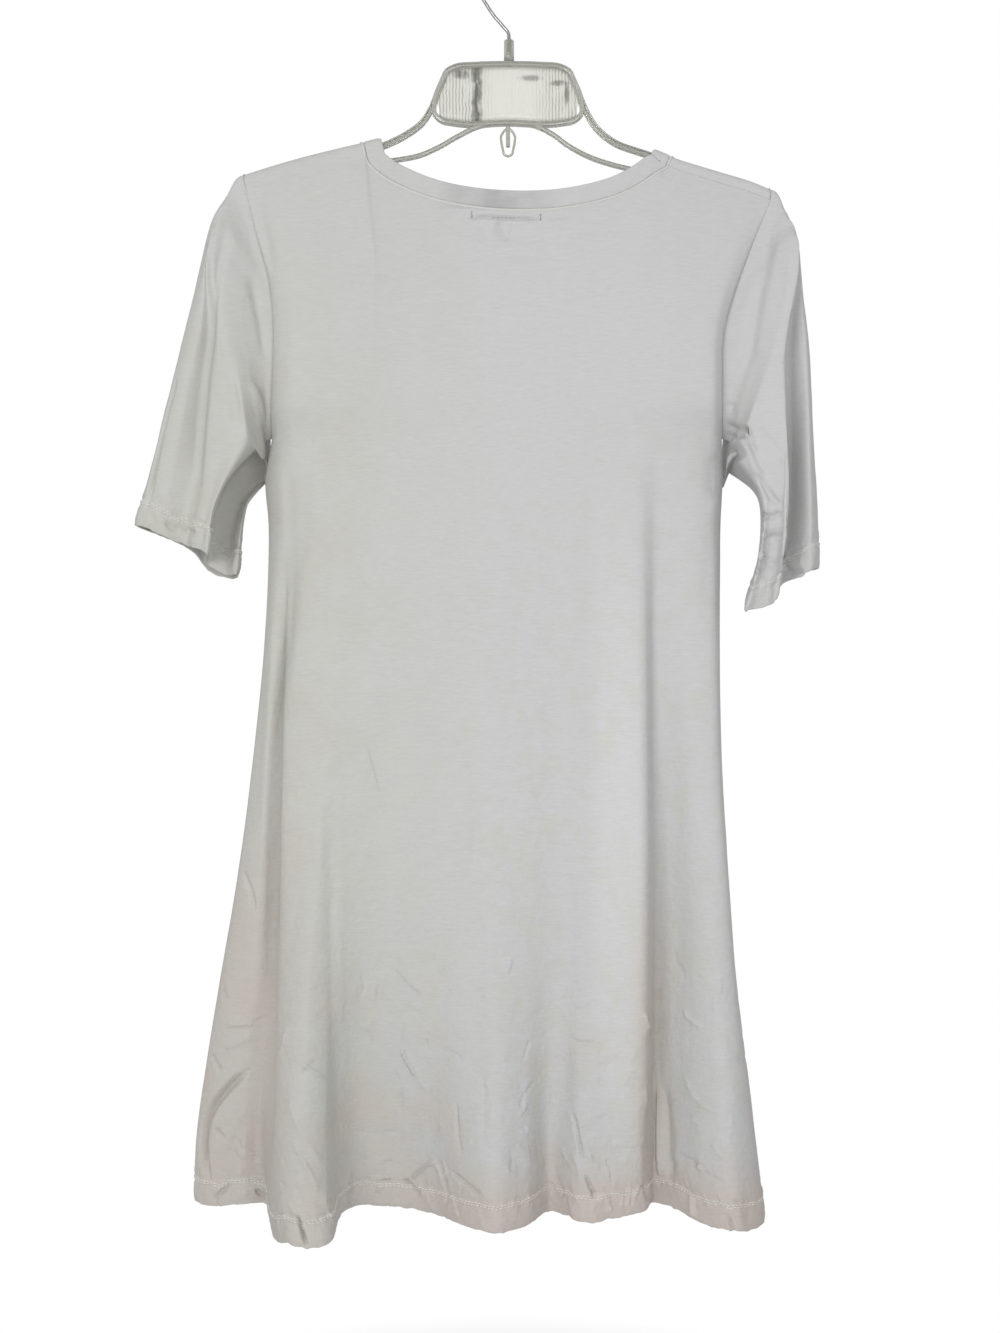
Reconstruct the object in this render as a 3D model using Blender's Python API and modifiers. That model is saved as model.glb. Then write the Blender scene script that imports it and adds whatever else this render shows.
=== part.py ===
"""A jersey t-shirt dress on a clear plastic hanger with a wire hook.

The dress hangs with its back towards -Y, the wearer's left at -X and up at +Z. The origin is
the point of the hook's arch that rests on a rail. Lengths in the tables are millimetres.
"""

import math

import bmesh
import bpy
import numpy as np

MM = 0.001

# Cloth
WALL = 1.2  # one layer of jersey
HEM_WALL = 2.0  # where the cloth is turned up
HEM_TURN = 20.0  # how far it is turned up
SEAM_GAP = 0.45  # between two pieces that are sewn together
BAND_WALL = 1.8  # the folded neck band
BAND_WIDTH = 14.0
BAND_GAP = 0.8  # between the band and the neck's edge
BAND_EASE = 5.0  # over what length its direction turns at the shoulders
CAP_RADIUS = 6.3  # how tightly the shoulders bend over the hanger

# Heights of the four sections that the body tables are given at
SECTION_HEIGHTS = (-389.0, -592.0, -830.0, -1003.0)  # armpit, waist, thigh, hem
PIT, HEM = SECTION_HEIGHTS[0], SECTION_HEIGHTS[-1]

# The dress from the armpits down: height, left side, right side
SIDES = (
    (-389.0, -190.5, 173.0),
    (-424.0, -196.0, 173.5),
    (-455.0, -193.5, 172.0),
    (-503.0, -194.0, 171.5),
    (-568.0, -198.0, 171.5),
    (-633.0, -204.5, 172.5),
    (-697.0, -212.0, 175.5),
    (-762.0, -221.5, 179.5),
    (-827.0, -232.5, 184.5),
    (-892.0, -243.0, 192.0),
    (-957.0, -251.5, 200.0),
    (-1003.0, -252.5, 205.0),
)

# Fold lines that run down each panel, from the left side seam to the right one: name, share of
# the width at armpit, waist, thigh and hem (%), depth behind or in front of the hanger at the
# same four (mm), and how far the hem lies above or below HEM there (mm)
BACK_FOLDS = (
    ("side seam left", 0.0, 0.0, 0.0, 0.0, 0, 0, 0, 0, 1),
    ("beside left seam", 0.15, 0.15, 0.15, 0.15, 6, 6, 6, 6, 0),
    ("left face outer", 2.0, 2.0, 3.0, 3.5, 15, 15, 14, 14, -1),
    ("left face inner", 5.5, 4.5, 7.5, 9.5, 24, 22, 19, 20, 2),
    ("left valley", 10.5, 8.0, 11.5, 14.0, 28, 29, 26, 22, 1),
    ("left ridge edge", 13.5, 10.5, 14.0, 15.5, 31, 38, 46, 56, -10),
    ("left ridge crest", 17.5, 14.0, 16.5, 19.0, 32, 42, 64, 92, -4),
    ("left ridge top", 22.0, 18.0, 20.0, 23.0, 33, 43, 70, 98, -5),
    ("left ridge fall", 26.0, 22.0, 23.5, 25.5, 33, 42, 66, 88, -4),
    ("left ridge foot", 29.5, 26.0, 26.5, 27.0, 33, 41, 50, 44, 0),
    ("left panel valley", 33.5, 30.0, 30.0, 30.0, 34, 40, 40, 18, 1),
    ("left panel", 38.0, 35.5, 36.0, 35.5, 34, 41, 39, 18, -1),
    ("left panel rise", 42.5, 41.0, 42.0, 42.0, 34, 41, 43, 32, -1),
    ("middle ridge rise", 47.5, 46.5, 47.5, 47.5, 34, 42, 54, 62, 0),
    ("middle ridge crest", 53.0, 52.5, 53.5, 53.0, 34, 42, 62, 88, 1),
    ("middle ridge fall", 58.5, 58.5, 58.5, 57.5, 34, 41, 54, 70, 1),
    ("middle valley", 64.0, 64.0, 63.5, 62.0, 34, 40, 39, 30, 1),
    ("right panel rise", 70.0, 69.5, 69.0, 67.5, 33, 41, 50, 58, 1),
    ("right panel crest", 75.0, 75.0, 73.5, 72.5, 33, 40, 48, 46, 0),
    ("right rib", 79.5, 79.0, 78.0, 76.5, 32, 39, 42, 22, 0),
    ("right valley", 83.0, 82.0, 81.0, 79.0, 31, 29, 19, 8, 0),
    ("right valley wall", 86.5, 85.5, 84.0, 81.5, 31, 30, 32, 38, 1),
    ("right ridge rise", 91.5, 90.5, 88.0, 85.5, 28, 38, 54, 66, -1),
    ("right ridge crest", 95.0, 94.5, 92.0, 90.0, 24, 38, 58, 77, 0),
    ("right ridge fall", 97.5, 97.5, 95.5, 94.5, 17, 29, 46, 62, -3),
    ("right face", 99.0, 99.0, 98.5, 98.0, 8, 15, 24, 36, -5),
    ("beside right seam", 99.85, 99.85, 99.85, 99.85, 5, 6, 9, 18, -6),
    ("side seam right", 100.0, 100.0, 100.0, 100.0, 0, 0, 3, 12, -6),
)
FRONT_FOLDS = (
    ("side seam left", 0.0, 0.0, 0.0, 0.0, 0, 0, 0, 0, 1),
    ("beside left seam", 0.15, 0.15, 0.15, 0.15, 5, 5, 6, 7, 1),
    ("left face outer", 2.0, 2.0, 2.5, 2.5, 12, 14, 15, 18, 0),
    ("left face inner", 6.0, 6.0, 7.5, 8.0, 20, 24, 27, 33, -1),
    ("left ridge rise", 11.0, 11.0, 12.5, 13.5, 24, 32, 43, 58, -3),
    ("left ridge crest", 17.0, 16.5, 18.0, 19.0, 26, 36, 53, 80, -5),
    ("left ridge fall", 23.0, 22.5, 23.5, 25.0, 27, 36, 46, 62, -3),
    ("left valley", 30.0, 29.5, 30.0, 31.0, 28, 34, 34, 28, 0),
    ("middle ridge rise", 37.0, 37.0, 37.0, 37.0, 28, 36, 44, 52, -2),
    ("middle ridge crest", 43.5, 43.0, 43.0, 43.0, 28, 37, 53, 77, -4),
    ("middle ridge fall", 49.5, 49.0, 49.0, 48.5, 28, 36, 44, 54, -2),
    ("middle valley", 55.5, 55.0, 55.0, 54.0, 28, 34, 34, 27, 0),
    ("right panel rise", 61.0, 61.0, 60.5, 60.0, 28, 35, 43, 48, -1),
    ("right panel crest", 67.0, 67.0, 66.0, 66.0, 28, 36, 52, 74, -3),
    ("right panel fall", 73.0, 72.5, 71.5, 71.0, 27, 35, 44, 52, -2),
    ("right valley", 79.0, 78.0, 77.0, 76.0, 26, 32, 32, 24, 0),
    ("right ridge rise", 84.5, 84.0, 83.0, 82.0, 25, 34, 44, 55, -2),
    ("right ridge crest", 90.0, 89.5, 88.5, 88.0, 23, 34, 50, 72, -4),
    ("right ridge fall", 95.0, 94.5, 94.0, 93.5, 17, 26, 37, 50, -4),
    ("right face", 98.5, 98.5, 98.0, 98.0, 8, 13, 18, 20, -5),
    ("beside right seam", 99.85, 99.85, 99.85, 99.85, 5, 5, 2, -6, -6),
    ("side seam right", 100.0, 100.0, 100.0, 100.0, 0, 0, -3, -12, -6),
)

# Top of the shoulders where the cloth lies on the hanger: x, height
SHOULDER_LEFT = ((-214.0, -175.0), (-200.0, -170.5), (-168.0, -161.0), (-136.0, -153.0), (-96.0, -144.0))
SHOULDER_RIGHT = ((112.0, -152.0), (136.0, -161.5), (168.0, -171.5), (200.0, -181.5), (213.0, -187.0))
TIP_LEFT, TIP_RIGHT = -213.0, 211.0  # where the sleeves are set in, at the top
NECK_LEFT, NECK_RIGHT = -118.0, 132.5  # where the neck band crosses the top of the shoulders
NECK_LEAN_LEFT, NECK_LEAN_RIGHT = 0.25, 0.39  # how much it leans inwards on the way down
SEAM_BACK_LEFT, SEAM_BACK_RIGHT = 3.0, 14.0  # how far the shoulder seams lie down the back

# Neck seam between the shoulders: x, height, depth
NECK_BACK = (
    (-112.0, -166.5, 7.5),
    (-101.5, -176.5, 8.5),
    (-83.0, -187.0, 9.5),
    (-60.0, -195.8, 10.5),
    (-29.0, -202.3, 11.0),
    (8.0, -205.0, 11.0),
    (42.0, -203.5, 11.0),
    (67.0, -199.0, 10.5),
    (90.0, -192.0, 10.0),
    (107.0, -183.0, 9.0),
    (119.0, -174.5, 8.0),
)
NECK_FRONT = (
    (-114.0, -176.0, 8.0),
    (-104.0, -202.0, 10.0),
    (-84.0, -228.0, 12.0),
    (-52.0, -247.0, 14.0),
    (6.0, -256.0, 15.0),
    (64.0, -249.0, 14.0),
    (98.0, -231.0, 12.0),
    (117.0, -206.0, 10.0),
    (125.0, -186.0, 8.0),
)

# Armholes: share of the way from shoulder to armpit, left x, right x, depth
ARMHOLES = (
    (0.00, -213.0, 211.0, 6.5),
    (0.22, -201.5, 193.5, 12.0),
    (0.42, -190.0, 179.5, 17.0),
    (0.56, -187.0, 172.0, 20.0),
    (0.78, -187.5, 170.5, 20.0),
    (0.93, -189.5, 171.5, 12.0),
    (1.00, -190.5, 173.0, 0.0),
)

# Sections of each sleeve: name, place along it, outer edge x, z, underarm x, z
SLEEVE_LEFT = (
    ("head", 0.10, -227.5, -194.0, -196.0, -397.0),
    ("upper", 0.42, -254.5, -281.0, -201.0, -410.0),
    ("lower", 0.72, -277.5, -374.0, -214.0, -446.0),
    ("wrist", 0.88, -289.0, -419.0, -220.0, -468.0),
    ("cuff", 1.00, -300.0, -459.0, -223.5, -490.0),
)
SLEEVE_RIGHT = (
    ("head", 0.10, 223.5, -203.0, 178.0, -397.0),
    ("upper", 0.42, 240.0, -290.0, 181.0, -410.0),
    ("lower", 0.72, 247.5, -385.0, 201.0, -450.0),
    ("wrist", 0.88, 250.5, -448.0, 199.5, -488.0),
    ("cuff", 1.00, 252.0, -492.0, 189.0, -523.0),
)
# Fold lines down each sleeve, once round it from the outer edge along the back: name, share of
# the way round (%), share of the width from the outer edge to the underarm at the five sections
# (%), depth behind the sections' plane there (mm), and how far the cuff lies above or below
FOLDS_LEFT = (
    ("outer edge", 0, 0, 0, 0, 0, 0, 0, 0, 0, 0, 0, 0),
    ("outer strip", 5, 3, 3, 5, 6, 7, 9, 13, 15, 15, 14, 0),
    ("outer crease", 9, 9, 7, 9, 11, 12, 14, 17, 18, 17, 16, 0),
    ("back outer", 15, 15, 15, 26, 30, 34, 19, 27, 32, 31, 29, 0),
    ("back valley", 23, 22, 27, 50, 58, 63, 22, 22, 25, 26, 26, 0),
    ("back panel", 30, 40, 45, 65, 69, 71, 26, 36, 38, 36, 32, 0),
    ("near fold rise", 37, 64, 72, 78, 77, 77, 28, 40, 40, 36, 33, 1),
    ("near fold", 43, 86, 95, 87, 83, 81, 23, 31, 32, 28, 25, 2),
    ("near turn", 47, 96, 99, 90, 83, 80, 14, 18, 17, 14, 12, -5),
    ("recess", 51, 99, 99, 90, 86, 84, 4, 5, 3, 2, 0, -10),
    ("far turn", 55, 99, 98, 94, 93, 92, -5, -7, -9, -10, -11, -8),
    ("far fold", 59, 97, 96, 99, 99, 99, -13, -17, -20, -21, -22, -1),
    ("front inner edge", 65, 88, 88, 94, 94, 94, -21, -27, -31, -32, -32, 0),
    ("front inner", 72, 68, 70, 76, 77, 77, -25, -35, -38, -38, -37, 0),
    ("front middle", 80, 45, 48, 52, 52, 52, -25, -33, -37, -38, -37, 0),
    ("front outer", 89, 22, 22, 25, 25, 25, -20, -28, -30, -30, -28, 0),
    ("front outer edge", 96, 6, 5, 6, 6, 6, -10, -14, -15, -15, -14, 0),
)
FOLDS_RIGHT = (
    ("outer edge", 0, 0, 0, 0, 0, 0, 0, 0, 0, 0, 0, 0),
    ("outer strip", 6, 4, 5, 12, 14, 14, 10, 14, 18, 18, 16, 0),
    ("outer valley", 13, 10, 19, 37, 42, 38, 17, 17, 15, 13, 13, 0),
    ("fold foot", 18, 14, 31, 53, 61, 58, 21, 24, 21, 19, 18, -3),
    ("fold edge", 23, 20, 38, 59, 69, 67, 26, 40, 43, 41, 36, -8),
    ("back panel", 30, 38, 55, 72, 78, 76, 30, 44, 48, 46, 39, -9),
    ("near fold rise", 38, 62, 75, 86, 88, 86, 30, 42, 42, 40, 34, -7),
    ("near fold", 44, 86, 94, 97, 96, 94, 22, 30, 28, 26, 24, -4),
    ("underarm", 50, 98, 100, 100, 100, 100, 6, 8, 8, 8, 8, 0),
    ("far fold", 56, 95, 96, 96, 97, 98, -10, -12, -12, -10, -8, 1),
    ("front inner", 64, 78, 80, 82, 82, 84, -23, -32, -34, -32, -29, 1),
    ("front middle", 74, 52, 56, 60, 60, 60, -27, -40, -44, -44, -40, 0),
    ("front outer", 84, 28, 32, 34, 34, 34, -24, -36, -42, -42, -38, 0),
    ("front outer edge", 94, 8, 9, 10, 10, 10, -13, -18, -20, -20, -18, 0),
)
LIP, LIP_FALL, LIP_PLACE = 4.0, 0.35, 0.02  # a sleeve first runs on from the panels, before it falls

# Hanger
RAIL_DEEP = 6.4  # front to back
RAIL_HIGH = 4.5
BOW_DEEP = 6.0
BOW_HIGH = 3.0
PLATE_DEEP = 7.8
PLATE_RIM = 3.6
WINDOW_THICK = 2.2
RAIL_UNDER_CLOTH = 3.8  # top of a rail below the outside of the cloth
# Right half of the plate's outer edge, from top middle to bottom middle: x, z
PLATE = (
    (0, -83.3), (26, -84), (44, -86), (51, -90), (55, -98), (61.5, -117), (61, -126), (55, -132),
    (44, -134.5), (0, -134.5),
)
# The rails' middle lines from the plate's sides out to the shoulders: x, z
RAIL_LEFT = ((-62.2, -118), (-64, -127), (-69.5, -135), (-82, -142.6), (-97, -149.6))
RAIL_RIGHT = ((62.2, -118), (65, -129), (73.5, -140.5), (87.5, -149.6), (104, -155.5))
ARM_END_LEFT, ARM_END_RIGHT = -207.0, 205.0
# The bow under the plate, from its middle out to where it runs into a rail
BOW_LEFT = (
    (0, -132.8), (-25, -135.8), (-39, -142.6), (-57.5, -153), (-71, -158.8), (-88, -162.3),
    (-120, -165.2), (-160, -166.8),
)
BOW_RIGHT = (
    (0, -132.8), (22, -135), (35.6, -141.5), (49.4, -151.5), (68, -161), (84, -166.3), (120, -173.5),
    (163, -178),
)

# The clip under the plate: a rod, and half of the loop round it from top to bottom
CLIP_ROD, CLIP_WIRE = 1.7, 1.0
CLIP_ROD_ENDS = (-134.9, -152.0)
CLIP_HALF = ((0.8, -137.0), (3.5, -139.5), (5.6, -143.5), (5.4, -148.0), (4.2, -154.0), (3.0, -158.0), (0, -159.5))

WIRE = 1.4  # radius of the hook's wire
HOOK_ARCH = 23.0  # radius of the arch, to the middle of the wire
HOOK_TURN = (-20.0, 203.0)  # the arch's two ends, in degrees
HOOK_BEND = ((-17.5, -36.5), (-12.2, -44.6), (-3.4, -55.0), (0.4, -60.0), (0.8, -64.0))
STEM_BOTTOM = -82.5
SLEEVE_RADIUS, SLEEVE_TOP, SLEEVE_BOTTOM = 4.0, -65.5, -82.9

# How finely the cloth is divided
CAP_ROWS = {-1: 4, 1: 7}  # over the shoulders, on the back and on the front
CHEST_ROWS, SKIRT_ROWS = 9, 11
WIDEST_COLUMN = 3.9  # % of the width
SLEEVE_RINGS = 10


# ---------------------------------------------------------------- curves


def smooth(knots, values, at, flat_ends=False):
    """The smooth curve through values at knots, read at any places. Values may be points."""
    knots = np.asarray(knots, float)
    values = np.asarray(values, float)
    at = np.clip(np.asarray(at, float), knots[0], knots[-1])
    steps = np.diff(knots)
    shape = (-1,) + (1,) * (values.ndim - 1)
    slopes = np.diff(values, axis=0) / steps.reshape(shape)
    before, after = steps[:-1].reshape(shape), steps[1:].reshape(shape)
    inner = (slopes[:-1] * after + slopes[1:] * before) / (before + after)
    ends = 0.0 if flat_ends else 1.0
    tangents = np.concatenate([slopes[:1] * ends, inner, slopes[-1:] * ends])
    i = np.clip(np.searchsorted(knots, at, side="right") - 1, 0, len(knots) - 2)
    wide = at.shape + (1,) * (values.ndim - 1)
    h = steps[i].reshape(wide)
    t = (at - knots[i]).reshape(wide) / h
    return (
        values[i] * (2 * t**3 - 3 * t**2 + 1)
        + values[i + 1] * (3 * t**2 - 2 * t**3)
        + tangents[i] * h * (t**3 - 2 * t**2 + t)
        + tangents[i + 1] * h * (t**3 - t**2)
    )


def smooth_rows(knots, rows, at, flat_ends=False):
    """smooth() along each row of a table: rows[row, knot] read at the same places in every row."""
    return smooth(knots, np.swapaxes(rows, 0, 1), at, flat_ends).swapaxes(0, 1)


def lerp(a, b, t):
    return a + (b - a) * t


def along(points):
    """Share of the length at each point of a polyline."""
    steps = np.linalg.norm(np.diff(points, axis=0), axis=1)
    return np.concatenate([[0.0], np.cumsum(steps)]) / steps.sum()


def through(points, count):
    """count points evenly along the smooth curve through the points given."""
    points = np.asarray(points, float)
    return smooth(along(points), points, np.linspace(0.0, 1.0, count))


# ---------------------------------------------------------------- body of the dress


def ridge(x):
    """Height of the cloth on top of the shoulder at x."""
    table = np.array(SHOULDER_LEFT if x < 0 else SHOULDER_RIGHT)
    return float(smooth(table[:, 0], table[:, 1], x))


def over_shoulder(x, away):
    """Point of the cloth that is away mm over the shoulder's top, towards the back if positive."""
    turn = CAP_RADIUS * math.pi / 2
    angle = max(-turn, min(turn, away)) / CAP_RADIUS
    below = max(0.0, abs(away) - turn)
    return (x, -CAP_RADIUS * math.sin(angle), ridge(x) - CAP_RADIUS * (1 - math.cos(angle)) - below)


def neck_side(x, away):
    """The same on the neck's edge, which crosses the shoulder's slope squarely."""
    lean = NECK_LEAN_LEFT if x < 0 else NECK_LEAN_RIGHT
    return over_shoulder(x - math.copysign(lean * abs(away), x), away)


def seam_away(x, side):
    """How far down the back the shoulder seam's edge lies, on one of its two pieces."""
    on_left = SEAM_BACK_LEFT if x < 0 else SEAM_BACK_RIGHT
    return on_left - side * SEAM_GAP / 2


def cap_end(x, side):
    """Where a piece leaves the hanger: it then hangs straight down."""
    turn = CAP_RADIUS * math.pi / 2
    return max(turn, seam_away(x, side) + 1.5) if side < 0 else -turn


def fold_columns(folds):
    """Places of the columns, counted in fold lines, and the two where the neck begins and ends."""
    shares = np.array([row[1] for row in folds])
    lines = np.arange(len(folds))
    top = lerp(TIP_LEFT, TIP_RIGHT, shares / 100)
    necks = [float(np.interp(x, top, lines)) for x in (NECK_LEFT, NECK_RIGHT)]
    places = []
    for i in range(len(folds) - 1):
        parts = math.ceil((shares[i + 1] - shares[i]) / WIDEST_COLUMN)
        places += [i + k / parts for k in range(parts)]
    places.append(float(lines[-1]))
    places = [p for p in places if min(abs(p - n) for n in necks) > 0.3]
    return np.array(sorted(places + necks)), necks


def panel(side, folds, neck):
    """Points of the back (side -1) or front (side 1) panel, rows from top to hem, and its columns.

    Rows of the cap lie over the hanger, and only the shoulders have them.
    """
    columns, necks = fold_columns(folds)
    lines = np.arange(len(folds))
    shares, depths = np.array([row[1:5] for row in folds]), np.array([row[5:9] for row in folds])
    drops = np.array([row[9] for row in folds])
    share_pit = smooth(lines, shares[:, 0], columns, flat_ends=True) / 100
    on_neck = (columns > necks[0]) & (columns < necks[1])

    # Armpit to hem: each row is a section through the fold lines
    down = np.linspace(0.0, 1.0, SKIRT_ROWS + 1)
    height = lerp(PIT, HEM, down)
    known = -np.array(SECTION_HEIGHTS)
    share = smooth_rows(lines, smooth(known, shares.T, -height), columns, flat_ends=True) / 100
    depth = smooth_rows(lines, smooth(known, depths.T, -height), columns)
    sides = np.array(SIDES)
    left, right = (smooth(-sides[:, 0], sides[:, k], -height)[:, None] for k in (1, 2))
    drop = smooth(lines, drops, columns)
    skirt = np.stack(
        [
            lerp(left, right, share),
            side * depth,
            height[:, None] + drop * down[:, None] ** 3,
        ],
        axis=2,
    )
    skirt[:, [0, -1], 1] += side * SEAM_GAP / 2

    # Shoulders and neck: the top edge of each column
    top_x = lerp(TIP_LEFT, TIP_RIGHT, share_pit)
    neck_curve = neck_edge(side, neck)
    cap_shares = np.linspace(0.0, 1.0, CAP_ROWS[side] + 1)
    caps = np.zeros((len(cap_shares), len(columns), 3))
    for k, x in enumerate(top_x):
        if on_neck[k]:
            caps[:, k] = neck_curve((columns[k] - necks[0]) / (necks[1] - necks[0]))
            continue
        over = neck_side if columns[k] in necks else over_shoulder
        for row, t in enumerate(cap_shares):
            caps[row, k] = over(x, lerp(seam_away(x, side), cap_end(x, side), t))

    # Top to armpit: a patch between the top edge, the two armholes and the first section
    b = np.linspace(0.0, 1.0, CHEST_ROWS + 1)[:, None]
    ease = 1 - (1 - b) ** 1.8
    holes = np.array(ARMHOLES)
    edges = []
    for k, column in ((0, 1), (-1, 2)):
        edge = np.empty((CHEST_ROWS + 1, 3))
        edge[:, 0] = smooth(holes[:, 0], holes[:, column], b[:, 0])
        edge[:, 1] = side * smooth(holes[:, 0], holes[:, 3], b[:, 0])
        edge[:, 2] = lerp(caps[-1, k, 2], PIT, b[:, 0])
        edge[0], edge[-1] = caps[-1, k], skirt[0, k]
        edges.append(edge)
    blend = np.repeat(b[:, :, None], 3, axis=2)
    blend[:, :, 1] = ease
    chest = lerp(caps[-1][None], skirt[0][None], blend)
    for edge, share_to, k in ((edges[0], 1 - share_pit, 0), (edges[1], share_pit, -1)):
        off = (edge - chest[:, k])[:, None, :]
        reach = np.stack([share_to, share_to**5, share_to], axis=1)[None]
        chest = chest + off * reach
    return np.concatenate([caps[:-1], chest, skirt[1:]]), on_neck


def neck_edge(side, neck):
    """The neck seam between the ends of the two shoulder caps, as a function of the share along it."""
    ends = [neck_side(x, cap_end(x, side)) for x in (NECK_LEFT, NECK_RIGHT)]
    middle = [(x, side * y, z) for x, z, y in neck]
    points = np.array([ends[0], *middle, ends[1]])
    places = along(points)
    return lambda share: smooth(places, points, share)


def panel_faces(points, on_neck, side):
    """Corners of the panel's faces. The neck's columns have none in the cap rows."""
    rows, columns = points.shape[:2]
    faces = []
    for r in range(rows - 1):
        for c in range(columns - 1):
            if r < CAP_ROWS[side] and (on_neck[c] or on_neck[c + 1]):
                continue
            a, b = r * columns + c, r * columns + c + 1
            quad = (a, a + columns, b + columns, b)
            faces.append(quad if side < 0 else quad[::-1])
    return faces


# ---------------------------------------------------------------- sleeves and neck band


def armhole_ring(panels, column):
    """The armhole's edge from the shoulder seam down the back and up the front, and the share round."""
    back, front = (panels[s][0][: CAP_ROWS[s] + CHEST_ROWS + 1, column] for s in (-1, 1))
    ring = np.concatenate([back, front[::-1]])
    seam = seam_away(back[0, 0], -1) / np.linalg.norm(np.diff(ring, axis=0), axis=1).sum()
    turn = np.concatenate([lerp(seam, 0.5, along(back)), lerp(1 + seam, 0.5, along(front))[::-1]])
    return ring, turn


def sleeve(panels, column, sections, folds):
    """Rings of a sleeve from the armhole to the cuff: each an array of points."""
    ring, turn = armhole_ring(panels, column)
    outward = math.copysign(1.0, sections[-1][2])
    gap = np.array([outward * SEAM_GAP, 0.0, 0.0])
    rings = [ring + gap, ring + gap + np.array([outward * LIP, 0.0, -LIP * LIP_FALL])]
    places = [0.0, LIP_PLACE] + [row[1] for row in sections]

    lines = np.array([row[1:] for row in folds], float)
    before, after = lines[-2:].copy(), lines[:2].copy()
    before[:, 0] -= 100
    after[:, 0] += 100
    lines = np.concatenate([before, lines, after])
    even = (np.arange(len(ring)) + 0.5) / len(ring)
    for k, (_, place, *corners) in enumerate(sections):
        outer, under = np.array(corners).reshape(2, 2)
        at = lerp(turn, even, min(1.0, place * 1.6))
        table = lines[:, [1 + k, 1 + len(sections) + k, -1]]
        share, depth, drop = smooth(lines[:, 0] / 100, table, at).T
        x, z = lerp(outer, under, share[:, None] / 100).T
        rings.append(np.stack([x, -depth, z + drop * place**8], axis=1))
    at = np.concatenate([[0.0, LIP_PLACE], np.linspace(0.0, 1.0, SLEEVE_RINGS + 1)[1:]])
    return smooth(places, np.array(rings), at)


def tube_faces(rings, around, outward):
    """Corners of the faces of a closed tube whose last point in a ring joins the first."""
    faces = []
    for r in range(rings - 1):
        for c in range(around):
            a, b = r * around + c, r * around + (c + 1) % around
            quad = (a, b, b + around, a + around)
            faces.append(quad if outward > 0 else quad[::-1])
    return faces


def neck_ring(panels):
    """The neck's edge, once round: along the back from the left shoulder, and back along the front."""
    loop = []
    for side, order in ((-1, 1), (1, -1)):
        points, on_neck = panels[side]
        first, last = np.flatnonzero(on_neck)[[0, -1]] + (-1, 1)
        ends = [points[: CAP_ROWS[side] + 1, k] for k in (first, last)]
        seam = points[CAP_ROWS[side], first + 1 : last]
        run = np.concatenate([ends[0][1:], seam, ends[1][::-1][1:]])
        loop.append(run[::order])
    return np.concatenate(loop)


def evened(ring, vectors, reach):
    """Vectors at the points of a closed ring, each averaged with its neighbours along the ring."""
    steps = np.linalg.norm(np.roll(ring, -1, axis=0) - ring, axis=1)
    place = np.concatenate([[0.0], np.cumsum(steps)[:-1]])
    apart = np.abs(place[:, None] - place)
    apart = np.minimum(apart, steps.sum() - apart)
    weight = np.exp(-((apart / reach) ** 2) / 2) * (steps + np.roll(steps, 1))
    return weight @ vectors / weight.sum(axis=1)[:, None]


def neck_band(panels):
    """Inner and outer edge of the neck band, as two rings of points."""
    ring = neck_ring(panels)
    tangent = np.roll(ring, -1, axis=0) - np.roll(ring, 1, axis=0)
    tangent /= np.linalg.norm(tangent, axis=1)[:, None]
    over = np.clip(ring[:, 1] / CAP_RADIUS, -1.0, 1.0)
    up = np.sqrt(1 - over**2)
    slope = [(ridge(x + 1) - ridge(x - 1)) / 2 for x in (NECK_LEFT, NECK_RIGHT)]
    normal = np.stack([-up * np.where(ring[:, 0] < 0, *slope), over, up], axis=1)
    inward = evened(ring, np.cross(normal, tangent), BAND_EASE)
    inward /= np.linalg.norm(inward, axis=1)[:, None]
    reaches = (BAND_GAP, BAND_GAP + BAND_WIDTH / 2, BAND_GAP + BAND_WIDTH)
    return np.stack([ring + inward * reach for reach in reaches])


# ---------------------------------------------------------------- Blender objects


def material(name, colour, roughness, metallic=0.0, clear=0.0):
    made = bpy.data.materials.new(name)
    made.use_nodes = True
    shader = made.node_tree.nodes["Principled BSDF"]
    shader.inputs["Base Color"].default_value = (*colour, 1.0)
    shader.inputs["Roughness"].default_value = roughness
    shader.inputs["Metallic"].default_value = metallic
    shader.inputs["Transmission Weight"].default_value = clear
    return made


def put(name, data, finish, collection):
    obj = bpy.data.objects.new(name, data)
    data.materials.append(finish)
    collection.objects.link(obj)
    return obj


def cloth(name, points, faces, finish, collection, wall, hem=None):
    """A cloth piece: its outside is the surface given, and its wall is added on the inside."""
    mesh = bpy.data.meshes.new(name)
    mesh.from_pydata([tuple(p * MM) for p in points], [], faces)
    work = bmesh.new()
    work.from_mesh(mesh)
    loose = [v for v in work.verts if not v.link_faces]
    bmesh.ops.delete(work, geom=loose, context="VERTS")
    work.to_mesh(mesh)
    work.free()
    mesh.shade_smooth()
    obj = put(name, mesh, finish, collection)
    shell = obj.modifiers.new("wall", "SOLIDIFY")
    shell.thickness = wall * MM
    shell.offset = -1.0
    if hem is not None:
        group = obj.vertex_groups.new(name="hem")
        for v in mesh.vertices:
            group.add([v.index], 1.0 if hem(v.co / MM) else WALL / HEM_WALL, "REPLACE")
        shell.vertex_group = "hem"
        shell.thickness = HEM_WALL * MM
    return obj


def strip(name, centre, high, deep, finish, collection):
    """A flat rail: the line given, high across it in the picture plane and deep front to back."""
    line = np.asarray(centre, float)
    tangent = np.gradient(line, axis=0)
    tangent /= np.linalg.norm(tangent, axis=1)[:, None]
    across = np.stack([-tangent[:, 1], tangent[:, 0]], axis=1) * high / 2
    return plate(name, np.concatenate([line + across, (line - across)[::-1]]), deep, finish, collection)


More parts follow.
